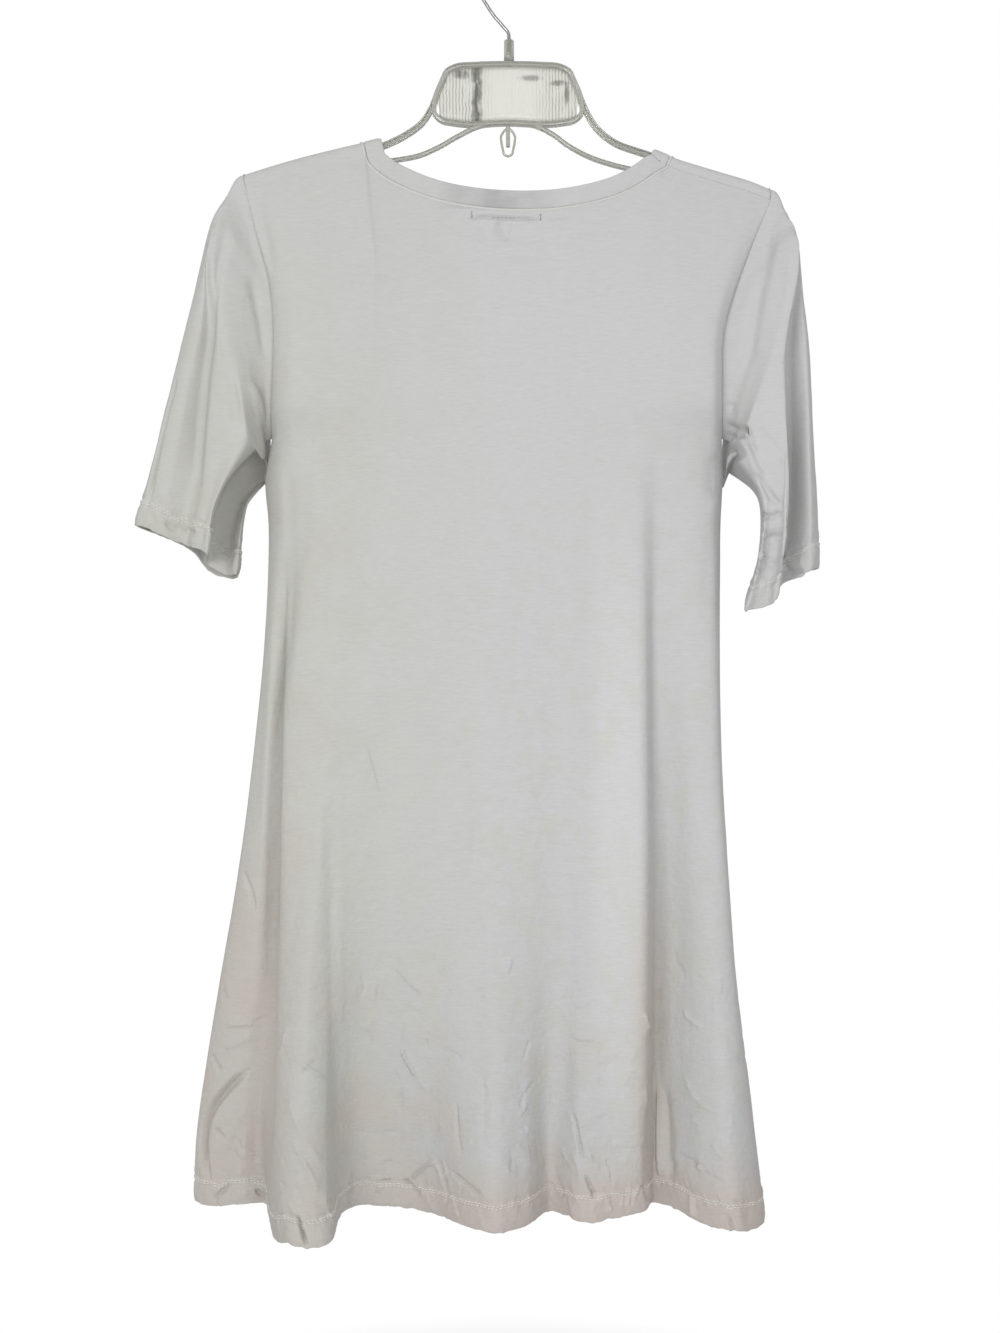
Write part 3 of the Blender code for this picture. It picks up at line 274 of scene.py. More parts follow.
# Creases pressed into the cloth: name, route (place, height), width, height of the ridge (or
# depth of the trough, below 0), and how much it leans to the right of a route drawn downwards
creases = {
    "back": (
        ("label pull", ((-34, -213.5), (-20, -212.2), (-6, -212.8), (6, -213.6), (20, -213.8),
                        (30, -213.4)), 1.5, -1.7, 0.5),
        ("label fall", ((-32, -215), (0, -216), (28, -216)), 2.6, 0.6, 0.0),
        ("label shade", ((-9, -214), (-4, -219), (-1, -226), (1, -233)), 6.0, -2.3, -0.4),
        ("label shade right", ((6, -216), (4, -222), (0, -229)), 2.4, 0.7, 0.0),
        ("label shade left", ((-24, -218), (-21, -224), (-15, -231)), 2.6, -0.5, 0.3),
        ("label wrinkle upper", ((-8, -239), (8, -235), (28, -233)), 1.8, 0.3, 0.4),
        ("label wrinkle left", ((-30, -246), (-18, -243), (-6, -245)), 2.0, -0.3, 0.2),
        ("label wrinkle middle", ((-8, -246), (8, -252), (22, -249), (34, -244)), 1.9, 0.34, 0.4),
        ("label wrinkle small", ((2, -242), (12, -245), (24, -242)), 2.0, -0.28, 0.2),
        ("label wrinkle lower", ((-46, -263), (-28, -259), (-10, -261), (4, -264), (22, -264),
                                 (44, -258)), 2.0, 0.36, 0.5),
        ("label wrinkle foot", ((-20, -268), (0, -270), (16, -269)), 2.2, -0.3, 0.1),
        ("label wrinkle last", ((-16, -276), (4, -275), (30, -272)), 2.0, -0.26, 0.2),
        ("label wrinkle side", ((29, -213), (40, -213), (52, -210)), 1.8, -0.6, 0.3),
        ("neck pull left", ((-66, -200), (-61, -208), (-55, -219)), 2.6, 0.4, 0.3),
        ("neck hollow left", ((-134, -160), (-126, -165), (-118, -172)), 5.0, -1.1, 0.0),
        ("neck hollow right", ((121, -178), (130, -173), (142, -168)), 4.0, -1.2, 0.0),
        ("left shoulder drag", ((-206, -192), (-196, -225), (-188, -262)), 4.5, -1.6, 0.3),
        ("left side line", ((-178, -380), (-174, -440), (-173, -510), (-178, -600)), 4.2, -1.3, 0.2),
        ("right armpit hollow", ((169, -398), (163, -418), (166, -442)), 6.5, -2.2, 0.0),
        ("right side drag", ((168, -440), (160, -480), (157, -530)), 6.0, -0.8, 0.2),
        ("left groove", ((-176, -455), (-181, -520), (-184.5, -600), (-186.5, -720), (-188, -840),
                         (-188, -930), (-186.5, -990)), 4.2, -8.6, 0.0),
        ("left rib line", ((-139, -642), (-138, -760), (-136, -850), (-133, -965)), 4.2, -1.1, 0.3),
        ("middle seam line", ((-27, -610), (-26, -700), (-25, -780), (-24, -870), (-23, -930)),
         6.0, -1.1, 0.0),
        ("middle dent", ((-25, -690), (-28, -708), (-29, -722)), 1.6, -0.35, 0.4),
        ("middle valley line", ((57, -610), (51, -715), (46, -835), (45, -930), (46, -978)), 7.0, -1.4, -0.3),
        ("left ridge hair", ((-113, -632), (-106, -655), (-101, -675)), 1.5, 0.53, -0.4),
        ("left panel hair upper", ((-92, -803), (-79, -818), (-63, -832)), 1.5, 0.8, -0.5),
        ("left panel hair middle", ((-83, -847), (-83, -858), (-84, -868)), 1.3, 0.44, 0.3),
        ("left panel hair lower", ((-85, -870), (-79, -884), (-70, -897)), 1.5, 1.16, -0.6),
        ("left panel level", ((-128, -940), (-103, -943), (-78, -941)), 1.7, -0.44, 0.4),
        ("left panel drop", ((-117, -944), (-113, -974)), 1.3, 0.44, 0.3),
        ("tent left leg", ((-79, -982), (-66, -969), (-54, -959)), 1.5, 1.24, 0.5),
        ("tent right leg", ((-56, -958), (-51, -972), (-46, -988)), 1.6, -1.33, 0.5),
        ("hem fold left panel", ((-85, -981), (-77, -986), (-69, -992)), 1.6, -1.41, 0.3),
        ("hem lift left panel", ((-106, -983), (-99, -980), (-92, -979)), 1.5, 0.97, 0.3),
        ("hem fold middle", ((-47, -965), (-34, -971), (-20, -978)), 1.7, -1.24, 0.4),
        ("middle streak left", ((-42, -905), (-40, -930), (-37, -955)), 1.7, -0.61, 0.3),
        ("middle streak right", ((-20, -880), (-18, -915), (-19, -950)), 3.0, -0.8, -0.3),
        ("valley fork", ((49, -918), (54, -940), (58, -960)), 1.6, -1.16, 0.4),
        ("valley fork lower", ((59, -966), (64, -977), (69, -987)), 1.5, -1.33, 0.4),
        ("valley streak", ((76, -954), (81, -975)), 1.5, -0.53, 0.3),
        ("valley level", ((47, -864), (58, -866), (69, -865)), 1.3, -0.61, 0.3),
        ("rib nick", ((105, -841), (107, -850), (111, -859)), 1.5, 0.88, 0.4),
        ("tent ridge", ((119, -895), (120, -925), (121, -960), (122, -990)), 3.0, 1.9, 0.2),
        ("tent slope", ((117, -890), (112, -925), (110, -960), (109, -990)), 3.0, -0.9, 0.0),
        ("tent side", ((124, -900), (126.5, -930), (128, -965), (129, -992)), 3.0, -1.5, 0.0),
        ("valley corner", ((100, -987), (107, -984), (109, -996)), 1.5, -1.24, 0.3),
        ("right level upper", ((131, -957), (142, -960), (154, -961)), 1.5, -0.53, 0.4),
        ("right level lower", ((145, -964), (156, -967), (167, -968)), 1.5, -0.53, 0.4),
        ("right arc", ((138, -893), (148, -913), (163, -920)), 1.6, 0.44, 0.3),
        ("right hem lift", ((143, -984), (144, -994), (144, -1004)), 1.6, 1.24, 0.3),
        ("right hem fold", ((168, -993), (170, -999), (173, -1006)), 1.3, -0.97, 0.3),
        ("left ridge notch", ((-160, -984), (-156, -995), (-151, -1008)), 1.3, -2.12, 0.4),
        ("left ridge glint", ((-159, -874), (-150, -881), (-141, -888)), 1.5, 0.88, -0.4),
        ("left ridge sweep", ((-171, -897), (-158, -926), (-147, -943), (-139, -955)), 2.4, 0.6, 0.5),
        ("left ridge sweep lower", ((-166, -930), (-153, -950), (-143, -972)), 1.7, 0.71, 0.4),
        ("left curl", ((-126, -966), (-129, -985), (-133, -1000)), 3.0, 1.4, 0.0),
        ("side diagonal", ((-201, -889), (-214, -899), (-228, -913), (-239, -928), (-245, -948),
                           (-244, -972), (-238, -990)), 3.0, -3.4, 0.6),
        ("side notch", ((-239, -884), (-235, -891), (-229, -897)), 1.6, -1.24, 0.3),
        ("side shade", ((-208, -928), (-220, -958), (-229, -992)), 5.0, -1.8, 0.0),
        ("side shade inner", ((-200, -930), (-204, -960), (-207, -992)), 5.0, -0.9, 0.0),
        ("side tick", ((-236, -942), (-231, -946), (-226, -951)), 1.3, -0.88, 0.3),
        ("side crease upper", ((-214, -736), (-206, -752), (-202, -770)), 1.7, -1.05, 0.4),
        ("side glint upper", ((-229, -861), (-213, -858), (-198, -857)), 1.7, 0.71, 0.3),
        ("side glint lower", ((-228, -880), (-215, -873), (-203, -867)), 2.8, 1.0, 0.3),
        ("side hem fold", ((-236, -1002), (-229, -993), (-222, -986)), 1.6, -1.41, 0.3),
        ("side hem tuck", ((-203, -990), (-196, -996), (-190, -1000)), 1.7, -1.41, 0.3),
    ),
    "front": (
        ("neck pull left", ((-96, -236), (-84, -262), (-78, -290)), 4.0, 0.6, 0.3),
        ("neck pull right", ((100, -240), (88, -268), (84, -300)), 4.0, 0.6, -0.3),
        ("left shoulder drag", ((-206, -196), (-194, -230), (-186, -268)), 4.5, -1.4, 0.3),
        ("right shoulder drag", ((201, -206), (186, -240), (176, -276)), 4.5, -1.4, -0.3),
        ("left armpit drag", ((-183, -398), (-170, -428), (-160, -470)), 5.0, -1.4, 0.3),
        ("right armpit drag", ((168, -398), (156, -430), (148, -475)), 5.0, -1.4, -0.3),
        ("left groove", ((-105, -560), (-100, -700), (-97, -830), (-94, -960)), 5.0, -1.6, 0.2),
        ("middle groove", ((8, -540), (7, -680), (4, -820), (2, -960)), 5.0, -1.5, -0.2),
        ("right groove", ((98, -560), (103, -700), (108, -830), (112, -960)), 5.0, -1.7, 0.2),
        ("left hair", ((-150, -842), (-142, -858), (-131, -869)), 2.4, 0.8, -0.4),
        ("middle hair", ((-52, -900), (-44, -915), (-33, -924)), 2.4, 0.9, 0.4),
        ("right hair", ((52, -780), (60, -797), (71, -806)), 2.4, 0.7, -0.4),
        ("left sweep", ((-190, -905), (-176, -934), (-162, -955)), 3.2, 1.3, 0.4),
        ("right sweep", ((168, -892), (157, -925), (144, -948)), 3.2, 1.2, -0.4),
        ("left hem fold", ((-110, -984), (-102, -990), (-94, -997)), 2.4, -1.4, 0.3),
        ("middle hem fold", ((-5, -982), (5, -988), (13, -996)), 2.4, -1.3, 0.3),
        ("right hem fold", ((120, -982), (112, -990), (105, -998)), 2.4, -1.5, 0.3),
        ("left side crease", ((-214, -846), (-228, -872), (-236, -905)), 3.4, -2.0, 0.4),
    ),
    "leftSleeveBack": (
        ("shoulder drag", ((-211, -189), (-204, -215), (-196, -240), (-189, -266)), 4.5, -1.8, 0.3),
        ("second drag", ((-206, -258), (-198, -295), (-192, -332)), 4.0, -1.8, 0.3),
        ("main valley", ((-222, -204), (-233, -282), (-241, -346), (-247, -410), (-246, -457)),
         4.4, -2.7, 0.2),
        ("outer crease", ((-262, -338), (-272, -374), (-287, -450)), 1.8, -1.5, 0.5),
        ("underarm ridge", ((-204, -347), (-197, -367), (-193, -386)), 3.0, 1.3, 0.3),
        ("elbow drag", ((-226, -330), (-222, -372), (-216, -405)), 5.0, 0.9, 0.2),
        ("cuff tick outer", ((-272, -459), (-266, -463), (-260, -464)), 2.0, -1.1, 0.2),
        ("cuff tick inner", ((-258, -462), (-252, -466), (-246, -466)), 2.2, -1.2, 0.2),
        ("fold hair", ((-214, -420), (-222, -438), (-228, -456)), 2.4, 0.8, 0.3),
    ),
    "leftSleeveFront": (
        ("shoulder drag", ((-212, -192), (-208, -225), (-200, -262)), 4.5, -1.6, 0.3),
        ("long valley", ((-226, -215), (-238, -290), (-252, -370), (-262, -440)), 5.0, -2.0, 0.3),
        ("underarm drag", ((-200, -368), (-214, -392), (-232, -408)), 3.4, 1.4, 0.3),
    ),
    "rightSleeveBack": (
        ("shoulder valley", ((211, -214), (205, -246), (195, -292), (188, -332), (180, -354)),
         5.0, -2.2, 0.2),
        ("shoulder glint", ((224, -236), (221, -262), (219, -300)), 4.0, 0.6, 0.2),
        ("outer valley", ((226, -272), (224, -326), (222, -400), (220, -443), (215, -490)), 4.0, -2.0, 0.0),
        ("armpit line", ((169, -358), (174, -364), (182, -366)), 2.0, -1.5, 0.3),
        ("armpit tuck", ((169, -371), (175, -379), (184, -386), (194, -398)), 2.2, -2.0, 0.5),
        ("underarm fold", ((171, -378), (180, -389), (190, -398), (196, -409)), 2.4, -2.2, -0.4),
        ("underarm ridge", ((172, -388), (181, -392), (187, -402), (193, -418), (203, -430)), 2.6, 1.6, 0.4),
        ("underarm hollow", ((174, -396), (180, -402), (183, -412)), 4.0, -2.6, 0.0),
        ("elbow drag", ((190, -386), (203, -396), (213, -410), (218, -424)), 3.4, -0.8, 0.3),
        ("elbow fold", ((194, -420), (203, -436), (211, -446), (217, -449)), 2.4, -1.5, 0.4),
        ("elbow tuck", ((196, -453), (205, -456), (216, -453)), 2.8, -1.8, 0.3),
        ("cuff shade", ((208, -462), (206, -482), (202, -505)), 6.0, -2.4, 0.4),
        ("cuff tuck upper", ((196, -466), (205, -472), (217, -470)), 2.6, -1.0, 0.3),
        ("cuff tuck", ((190, -482), (202, -488), (214, -499)), 2.8, -1.2, 0.3),
        ("cuff hair", ((190, -497), (201, -500), (213, -509)), 2.2, -0.7, 0.3),
        ("cuff swirl", ((222, -492), (228, -497), (236, -496)), 2.2, -1.6, 0.3),
    ),
    "rightSleeveFront": (
        ("shoulder drag", ((211, -214), (204, -248), (196, -280)), 4.5, -1.6, -0.3),
        ("long valley", ((228, -226), (232, -310), (234, -400), (232, -476)), 5.0, -2.0, 0.2),
        ("underarm drag", ((182, -372), (200, -398), (222, -414)), 3.4, 1.4, -0.3),
    ),
}


scatter = {
    # seed, how many, the box they lie in, how much they gather at the bottom, lengths, widths, heights
    "back": (11, 210, (-238, 195, -996, -780), 1.5, (5, 26), (1.2, 2.2), (0.12, 0.5)),
    "front": (29, 90, (-232, 190, -994, -820), 1.6, (6, 28), (1.4, 2.4), (0.08, 0.36)),
}


def scatterCreases(seed, count, box, gather, lengths, widths, heights):
    # small creases left by folding and washing, thickest near the hem
    draw = np.random.RandomState(seed)
    made = []
    for k in range(count):
        x = draw.uniform(box[0], box[1])
        z = box[2] + (box[3] - box[2]) * draw.uniform() ** gather
        long, lean = draw.uniform(*lengths), draw.normal(0.25, 0.75)
        bend = draw.normal(0.0, 0.12) * long
        dx, dz = long * math.sin(lean), -long * math.cos(lean)
        route = ((x, z), (x + dx / 2 + bend, z + dz / 2 + bend * 0.4), (x + dx, z + dz))
        height = draw.uniform(*heights) * draw.choice((1, 1, -1))
        made.append((f"small {k}", route, draw.uniform(*widths), height, draw.uniform(-0.5, 0.5)))
    return tuple(made)


scattered = {name: scatterCreases(*values) for name, values in scatter.items()}


def smooth(knots, values, at, flatEnds=False):
    # the smooth curve through values at knots, read at any places
    knots = np.asarray(knots, float)
    values = np.asarray(values, float)
    at = np.clip(np.asarray(at, float), knots[0], knots[-1])
    steps = np.diff(knots)
    shape = (-1,) + (1,) * (values.ndim - 1)
    slopes = np.diff(values, axis=0) / steps.reshape(shape)
    before, after = steps[:-1].reshape(shape), steps[1:].reshape(shape)
    inner = (slopes[:-1] * after + slopes[1:] * before) / (before + after)
    ends = 0.0 if flatEnds else 1.0
    tangents = np.concatenate([slopes[:1] * ends, inner, slopes[-1:] * ends])
    i = np.clip(np.searchsorted(knots, at, side="right") - 1, 0, len(knots) - 2)
    wide = at.shape + (1,) * (values.ndim - 1)
    h = steps[i].reshape(wide)
    t = (at - knots[i]).reshape(wide) / h
    return (
        values[i] * (2 * t**3 - 3 * t**2 + 1)
        + values[i + 1] * (3 * t**2 - 2 * t**3)
        + tangents[i] * h * (t**3 - 2 * t**2 + t)
        + tangents[i + 1] * h * (t**3 - t**2)
    )


def smoothRows(knots, rows, at, flatEnds=False):
    return smooth(knots, np.swapaxes(rows, 0, 1), at, flatEnds).swapaxes(0, 1)


def lerp(a, b, t):
    return a + (b - a) * t


def ease(t):
    t = np.clip(t, 0.0, 1.0)
    return t * t * (3 - 2 * t)


def along(points):
    # share of the length at each point of a line
    steps = np.linalg.norm(np.diff(points, axis=0), axis=1)
    return np.concatenate([[0.0], np.cumsum(steps)]) / steps.sum()


def runs(points):
    # how far along a line each of its points lies
    steps = np.linalg.norm(np.diff(points, axis=0), axis=1)
    return np.concatenate([[0.0], np.cumsum(steps)])


def runsRound(ring):
    # the same round a closed ring, and the steps between its points
    steps = np.linalg.norm(np.roll(ring, -1, axis=0) - ring, axis=1)
    return np.concatenate([[0.0], np.cumsum(steps)[:-1]]), steps


def through(points, count):
    points = np.asarray(points, float)
    return smooth(along(points), points, np.linspace(0.0, 1.0, count))


def unit(vectors):
    return vectors / np.maximum(np.linalg.norm(vectors, axis=-1, keepdims=True), 1e-9)


def ripple(points, long, seed):
    # uneven waves, -1 to 1, with their size along each axis
    places = (points / np.asarray(long, float)).reshape(-1, 3)
    values = [noise.noise(Vector((p[0] + seed, p[1], p[2]))) for p in places]
    return np.array(values).reshape(points.shape[:-1])


def softWaves(points, waves, seed):
    return sum(height * ripple(points, long, seed + shift) for long, height, shift in waves)


def gridFaces(rows, columns, wrap=False, flip=False, skip=None):
    faces = []
    for r in range(rows - 1):
        for c in range(columns if wrap else columns - 1):
            if skip is not None and skip(r, c):
                continue
            a, b = r * columns + c, r * columns + (c + 1) % columns
            quad = (a, a + columns, b + columns, b)
            faces.append(quad[::-1] if flip else quad)
    return faces


def clothFaces(grid, close, wrap=False, flip=False, skip=None):
    # faces over a fine grid: squares of 4 by 4 cells, divided only where the cloth needs it
    columns = grid.shape[1]
    if wrap:
        grid = np.concatenate([grid, grid[:, :1]], axis=1)
    top, left = (a.ravel() for a in np.mgrid[0 : grid.shape[0] - 1 : 4, 0 : grid.shape[1] - 1 : 4])
    if skip is not None:
        kept = ~skip(top, left)
        top, left = top[kept], left[kept]
    used = np.zeros(grid.shape[:2], bool)
    cells = []
    for size, limit in ((4, close[0]), (2, close[1]), (1, None)):
        a, b = grid[top, left], grid[top, left + size]
        c, d = grid[top + size, left], grid[top + size, left + size]
        stray = np.zeros(len(top))
        for i in range(size + 1):
            for j in range(size + 1):
                u, v = i / size, j / size
                flat = lerp(lerp(a, b, v), lerp(c, d, v), u)
                stray = np.maximum(stray, np.linalg.norm(grid[top + i, left + j] - flat, axis=1))
        parted = stray > limit if limit else np.zeros(len(top), bool)
        whole = ~parted
        for i, j in ((0, 0), (0, size), (size, 0), (size, size)):
            used[top[whole] + i, left[whole] + j] = True
        cells.append((size, top[whole], left[whole]))
        half = size // 2
        top, left = (
            np.concatenate([a[parted] + k for k in ks])
            for a, ks in ((top, (0, 0, half, half)), (left, (0, half, 0, half)))
        )
    if wrap:
        used[:, 0] |= used[:, -1]
        used[:, -1] = used[:, 0]
    faces = []
    for size, tops, lefts in cells:
        border = [(i, 0) for i in range(size)] + [(size, j) for j in range(size)]
        border += [(size - i, size) for i in range(size)] + [(0, size - j) for j in range(size)]
        for row, column in zip(tops.tolist(), lefts.tolist()):
            corners = [(row + i, column + j) for i, j in border if used[row + i, column + j]]
            face = [i * columns + j % columns for i, j in corners]
            faces.append(tuple(face[::-1] if flip else face))
    return faces


def addPiece(name, points, faces, finish, slot, stands=()):
    # a piece of the scene from its points in millimetres; stands are the frame's nodes it stands for
    mesh = bpy.data.meshes.new(name)
    used = np.zeros(len(points), bool)
    used[[i for face in faces for i in face]] = True
    place = np.cumsum(used) - 1
    kept = np.asarray(points)[used] * mm
    mesh.from_pydata(kept.tolist(), [], [tuple(int(place[i]) for i in face) for face in faces])
    mesh.validate()
    mesh.shade_smooth()
    mesh.materials.append(finish)
    piece = bpy.data.objects.new(name, mesh)
    bpy.context.scene.collection.objects.link(piece)
    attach(piece, "root")
    if stands:
        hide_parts(*stands)
    return piece


def sweep(line, across, up, profile, closed=False):
    # points and faces of a profile (across, up) carried along a line
    profile = np.asarray(profile, float)
    grid = line[:, None] + across[:, None] * profile[None, :, :1] + up[:, None] * profile[None, :, 1:]
    count, sides = grid.shape[:2]
    faces = gridFaces(count, sides, wrap=True)
    if closed:
        last = (count - 1) * sides
        faces += [(last + k, k, (k + 1) % sides, last + (k + 1) % sides) for k in range(sides)]
    else:
        faces.append(tuple(range(sides)))
        faces.append(tuple(range((count - 1) * sides, count * sides))[::-1])
    return grid.reshape(-1, 3), faces


def outFacing(points, faces):
    # turns all the faces round if the closed body that they make is inside out
    volume = 0.0
    for face in faces:
        a = points[face[0]]
        for i, j in zip(face[1:-1], face[2:]):
            volume += float(np.dot(a, np.cross(points[i], points[j])))
    return faces if volume > 0 else [face[::-1] for face in faces]


def gathered(bodies):
    # several bodies as one list of points and one of faces
    points, faces, count = [], [], 0
    for body, sides in bodies:
        points.append(body)
        faces += [tuple(i + count for i in face) for face in outFacing(body, sides)]
        count += len(body)
    return np.concatenate(points), faces


def ridge(x):
    table = np.array(dress["shoulders"][-1 if x < 0 else 1])
    return float(smooth(table[:, 0], table[:, 1], x))


def overShoulder(x, away):
    # the cloth that far over the shoulder's top, towards the back if positive
    radius = dress["capRadius"]
    turn = radius * math.pi / 2
    angle = max(-turn, min(turn, away)) / radius
    below = max(0.0, abs(away) - turn)
    return (x, -radius * math.sin(angle), ridge(x) - radius * (1 - math.cos(angle)) - below)


def neckSide(x, away):
    # the same beside the neck, where the edge leans inwards
    lean = neck["lean"][-1 if x < 0 else 1]
    return overShoulder(x - math.copysign(lean * abs(away), x), away)


def seamAway(x, side):
    # how far over the shoulder's top a panel's edge lies
    return dress["seamDownBack"][-1 if x < 0 else 1] - side * dress["seamGap"] / 2


def capEnd(x, side):
    # how far over the shoulder's top a panel's cap reaches
    turn = dress["capRadius"] * math.pi / 2
    return max(turn, seamAway(x, side) + 1.5) if side < 0 else -turn


def foldColumns(folds, step):
    # where the panel's columns lie between its fold lines, close enough for its deepest folds
    shares = np.array([row[1] for row in folds])
    lines = np.arange(len(folds))
    top = lerp(*dress["tips"], shares / 100)
    necks = [float(np.interp(x, top, lines)) for x in neck["ends"]]
    sides = np.array(dress["sides"])
    widths = [np.interp(-z, -sides[:, 0], sides[:, 2] - sides[:, 1]) for z in dress["heights"]]
    places = []
    for i in range(len(folds) - 1):
        wide = (np.array(folds[i + 1][1:5]) - np.array(folds[i][1:5])) / 100 * widths
        deep = np.array(folds[i + 1][5:9]) - np.array(folds[i][5:9])
        parts = max(2, math.ceil(np.hypot(wide, deep).max() / step))
        places += [i + k / parts for k in range(parts)]
    places.append(float(lines[-1]))
    # a column at each end of the neck, and no other close beside it
    places = [p for p in places if min(abs(p - n) for n in necks) > 0.06]
    places = sorted(places + necks)
    return np.interp(np.arange(4 * len(places) - 3) / 4, np.arange(len(places)), places), necks


def neckEdge(side):
    # a panel's edge at the neck, from the left shoulder to the right one
    ends = [neckSide(x, capEnd(x, side)) for x in neck["ends"]]
    points = np.array([ends[0], *((x, side * y, z) for x, z, y in neck[side]), ends[1]])
    places = along(points)
    return lambda share: smooth(places, points, share)


def zones(start, table):
    # places from start on, evenly spread in each zone of the table
    places = [start]
    for end, count in table:
        places += list(np.linspace(places[-1], end, count + 1)[1:])
    return np.array(places)


def eased(points, reach, width):
    # takes out the kink where the chest meets the skirt
    z, y = points[..., 2], points[..., 1]
    level = z.mean(axis=1)
    near = np.abs(level - pit) < 3 * width
    z, y, level = z[near], y[near], level[near]
    weight = np.exp(-(((level[:, None] - level) / width) ** 2)) * np.abs(np.gradient(level))
    soft = weight @ y / weight.sum(axis=1)[:, None]
    share = np.exp(-(((level - pit) / (1.6 * width)) ** 2))[:, None] * ease(reach[near] / 12.0)
    points = points.copy()
    points[near, :, 1] = lerp(y, soft, share)
    return points


def insets(points):
    # how far each point lies from the nearer side, along the cloth
    steps = np.linalg.norm(np.diff(points, axis=1), axis=2)
    place = np.concatenate([np.zeros((len(points), 1)), np.cumsum(steps, axis=1)], axis=1)
    return np.minimum(place, place[:, -1:] - place)


def panelGrid(side):
    # the panel's points, rows from the top to the hem, and which columns end at the neck
    folds = dress["backFolds"] if side < 0 else dress["frontFolds"]
    columns, necks = foldColumns(folds, dress["columnStep"][side])
    lines = np.arange(len(folds))
    shares, depths = np.array([row[1:5] for row in folds]), np.array([row[5:9] for row in folds])
    sharePit = smooth(lines, shares[:, 0], columns, flatEnds=True) / 100
    onNeck = (columns > necks[0]) & (columns < necks[1])

    # armpit to hem: each row is a section through the fold lines
    height = zones(pit, dress["skirtRows"][side])
    down = (height - pit) / (hem - pit)
    known = -np.array(dress["heights"])
    share = smoothRows(lines, smooth(known, shares.T, -height), columns, flatEnds=True) / 100
    depth = smoothRows(lines, smooth(known, depths.T, -height), columns)
    sides = np.array(dress["sides"])
    left, right = (smooth(-sides[:, 0], sides[:, k], -height)[:, None] for k in (1, 2))
    drop = smooth(lines, np.array([row[9] for row in folds]), columns)
    level = height[:, None] + drop * down[:, None] ** dress["hemFall"]
    skirt = np.stack([lerp(left, right, share), side * depth, level], axis=2)
    skirt[:, [0, -1], 1] += side * dress["seamGap"] / 2

    # shoulders and neck: the top edge of each column
    capRows = dress["capRows"][side]
    topX = lerp(*dress["tips"], sharePit)
    neckCurve = neckEdge(side)
    caps = np.zeros((capRows + 1, len(columns), 3))
    for k, x in enumerate(topX):
        if onNeck[k]:
            caps[:, k] = neckCurve((columns[k] - necks[0]) / (necks[1] - necks[0]))
            continue
        over = neckSide if columns[k] in necks else overShoulder
        for row, t in enumerate(np.linspace(0.0, 1.0, capRows + 1)):
            caps[row, k] = over(x, lerp(seamAway(x, side), capEnd(x, side), t))

    # top to armpit: a patch between the top edge, the armholes and the first section
    b = zones(0.0, dress["chestRows"])[:, None]
    holes = np.array(dress["armholes"])
    blend = np.repeat(b[:, :, None], 3, axis=2)
    blend[:, :, 1] = 1 - (1 - b) ** dress["chestFill"]
    chest = lerp(caps[-1][None], skirt[0][None], blend)
    offsets = []
    for k, column in ((0, 1), (-1, 2)):
        edge = np.empty((chestRows + 1, 3))
        edge[:, 0] = smooth(holes[:, 0], holes[:, column], b[:, 0])
        edge[:, 1] = side * smooth(holes[:, 0], holes[:, 3], b[:, 0])
        edge[:, 2] = lerp(caps[-1, k, 2], pit, b[:, 0])
        edge[0], edge[-1] = caps[-1, k], skirt[0, k]
        offsets.append((edge - chest[:, k])[:, None, :])
    for off, reach in zip(offsets, (1 - sharePit, sharePit)):
        chest = chest + off * np.stack([reach, reach ** dress["armholeReach"], reach], axis=1)[None]
    body = np.concatenate([chest, skirt[1:]])
    return np.concatenate([caps[:-1], eased(body, insets(body), dress["pitEase"])]), onNeck


def outwards(points, wrap=False, flip=False):
    # the directions out of a grid of cloth
    if wrap:
        across = np.roll(points, -1, axis=1) - np.roll(points, 1, axis=1)
    else:
        across = np.gradient(points, axis=1)
    down = np.gradient(points, axis=0)
    normal = unit(np.cross(down, across))
    return -normal if flip else normal


def riseAbove(points):
    # how far above the lower edge each point lies, along the cloth
    steps = np.linalg.norm(np.diff(points[::-1], axis=0), axis=2)
    rise = np.concatenate([np.zeros((1, points.shape[1])), np.cumsum(steps, axis=0)])
    return rise[::-1]


def pressed(points, crease):
    # the lift that one crease gives to each point
    _, route, width, height, lean = crease
    line = through(route, 22)
    x, z = points[..., 0], points[..., 2]
    lift = np.zeros(x.shape)
    low, high = line.min(axis=0) - 3.2 * width, line.max(axis=0) + 3.2 * width
    near = (x > low[0]) & (x < high[0]) & (z > low[1]) & (z < high[1])
    if not near.any():
        return lift
    spots = np.stack([x[near], z[near]], axis=1)
    step = np.diff(line, axis=0)
    offset = spots[:, None] - line[:-1]
    share = np.clip((offset * step).sum(axis=2) / (step**2).sum(axis=1), 0.0, 1.0)
    apart = np.linalg.norm(offset - share[..., None] * step, axis=2)
    best = apart.argmin(axis=1)
    row = np.arange(len(spots))
    place = (best + share[row, best]) / len(step)
    turn = step[best, 0] * offset[row, best, 1] - step[best, 1] * offset[row, best, 0]
    away = apart[row, best] * np.sign(turn) / width
    fade = ease(np.minimum(place, 1 - place) / 0.25)
    sharper = math.sqrt(3.0 / width)  # narrow creases are the crisp ones
    lift[near] = height * sharper * fade * np.exp(-(away**2)) * (1 + lean * away)
    return lift


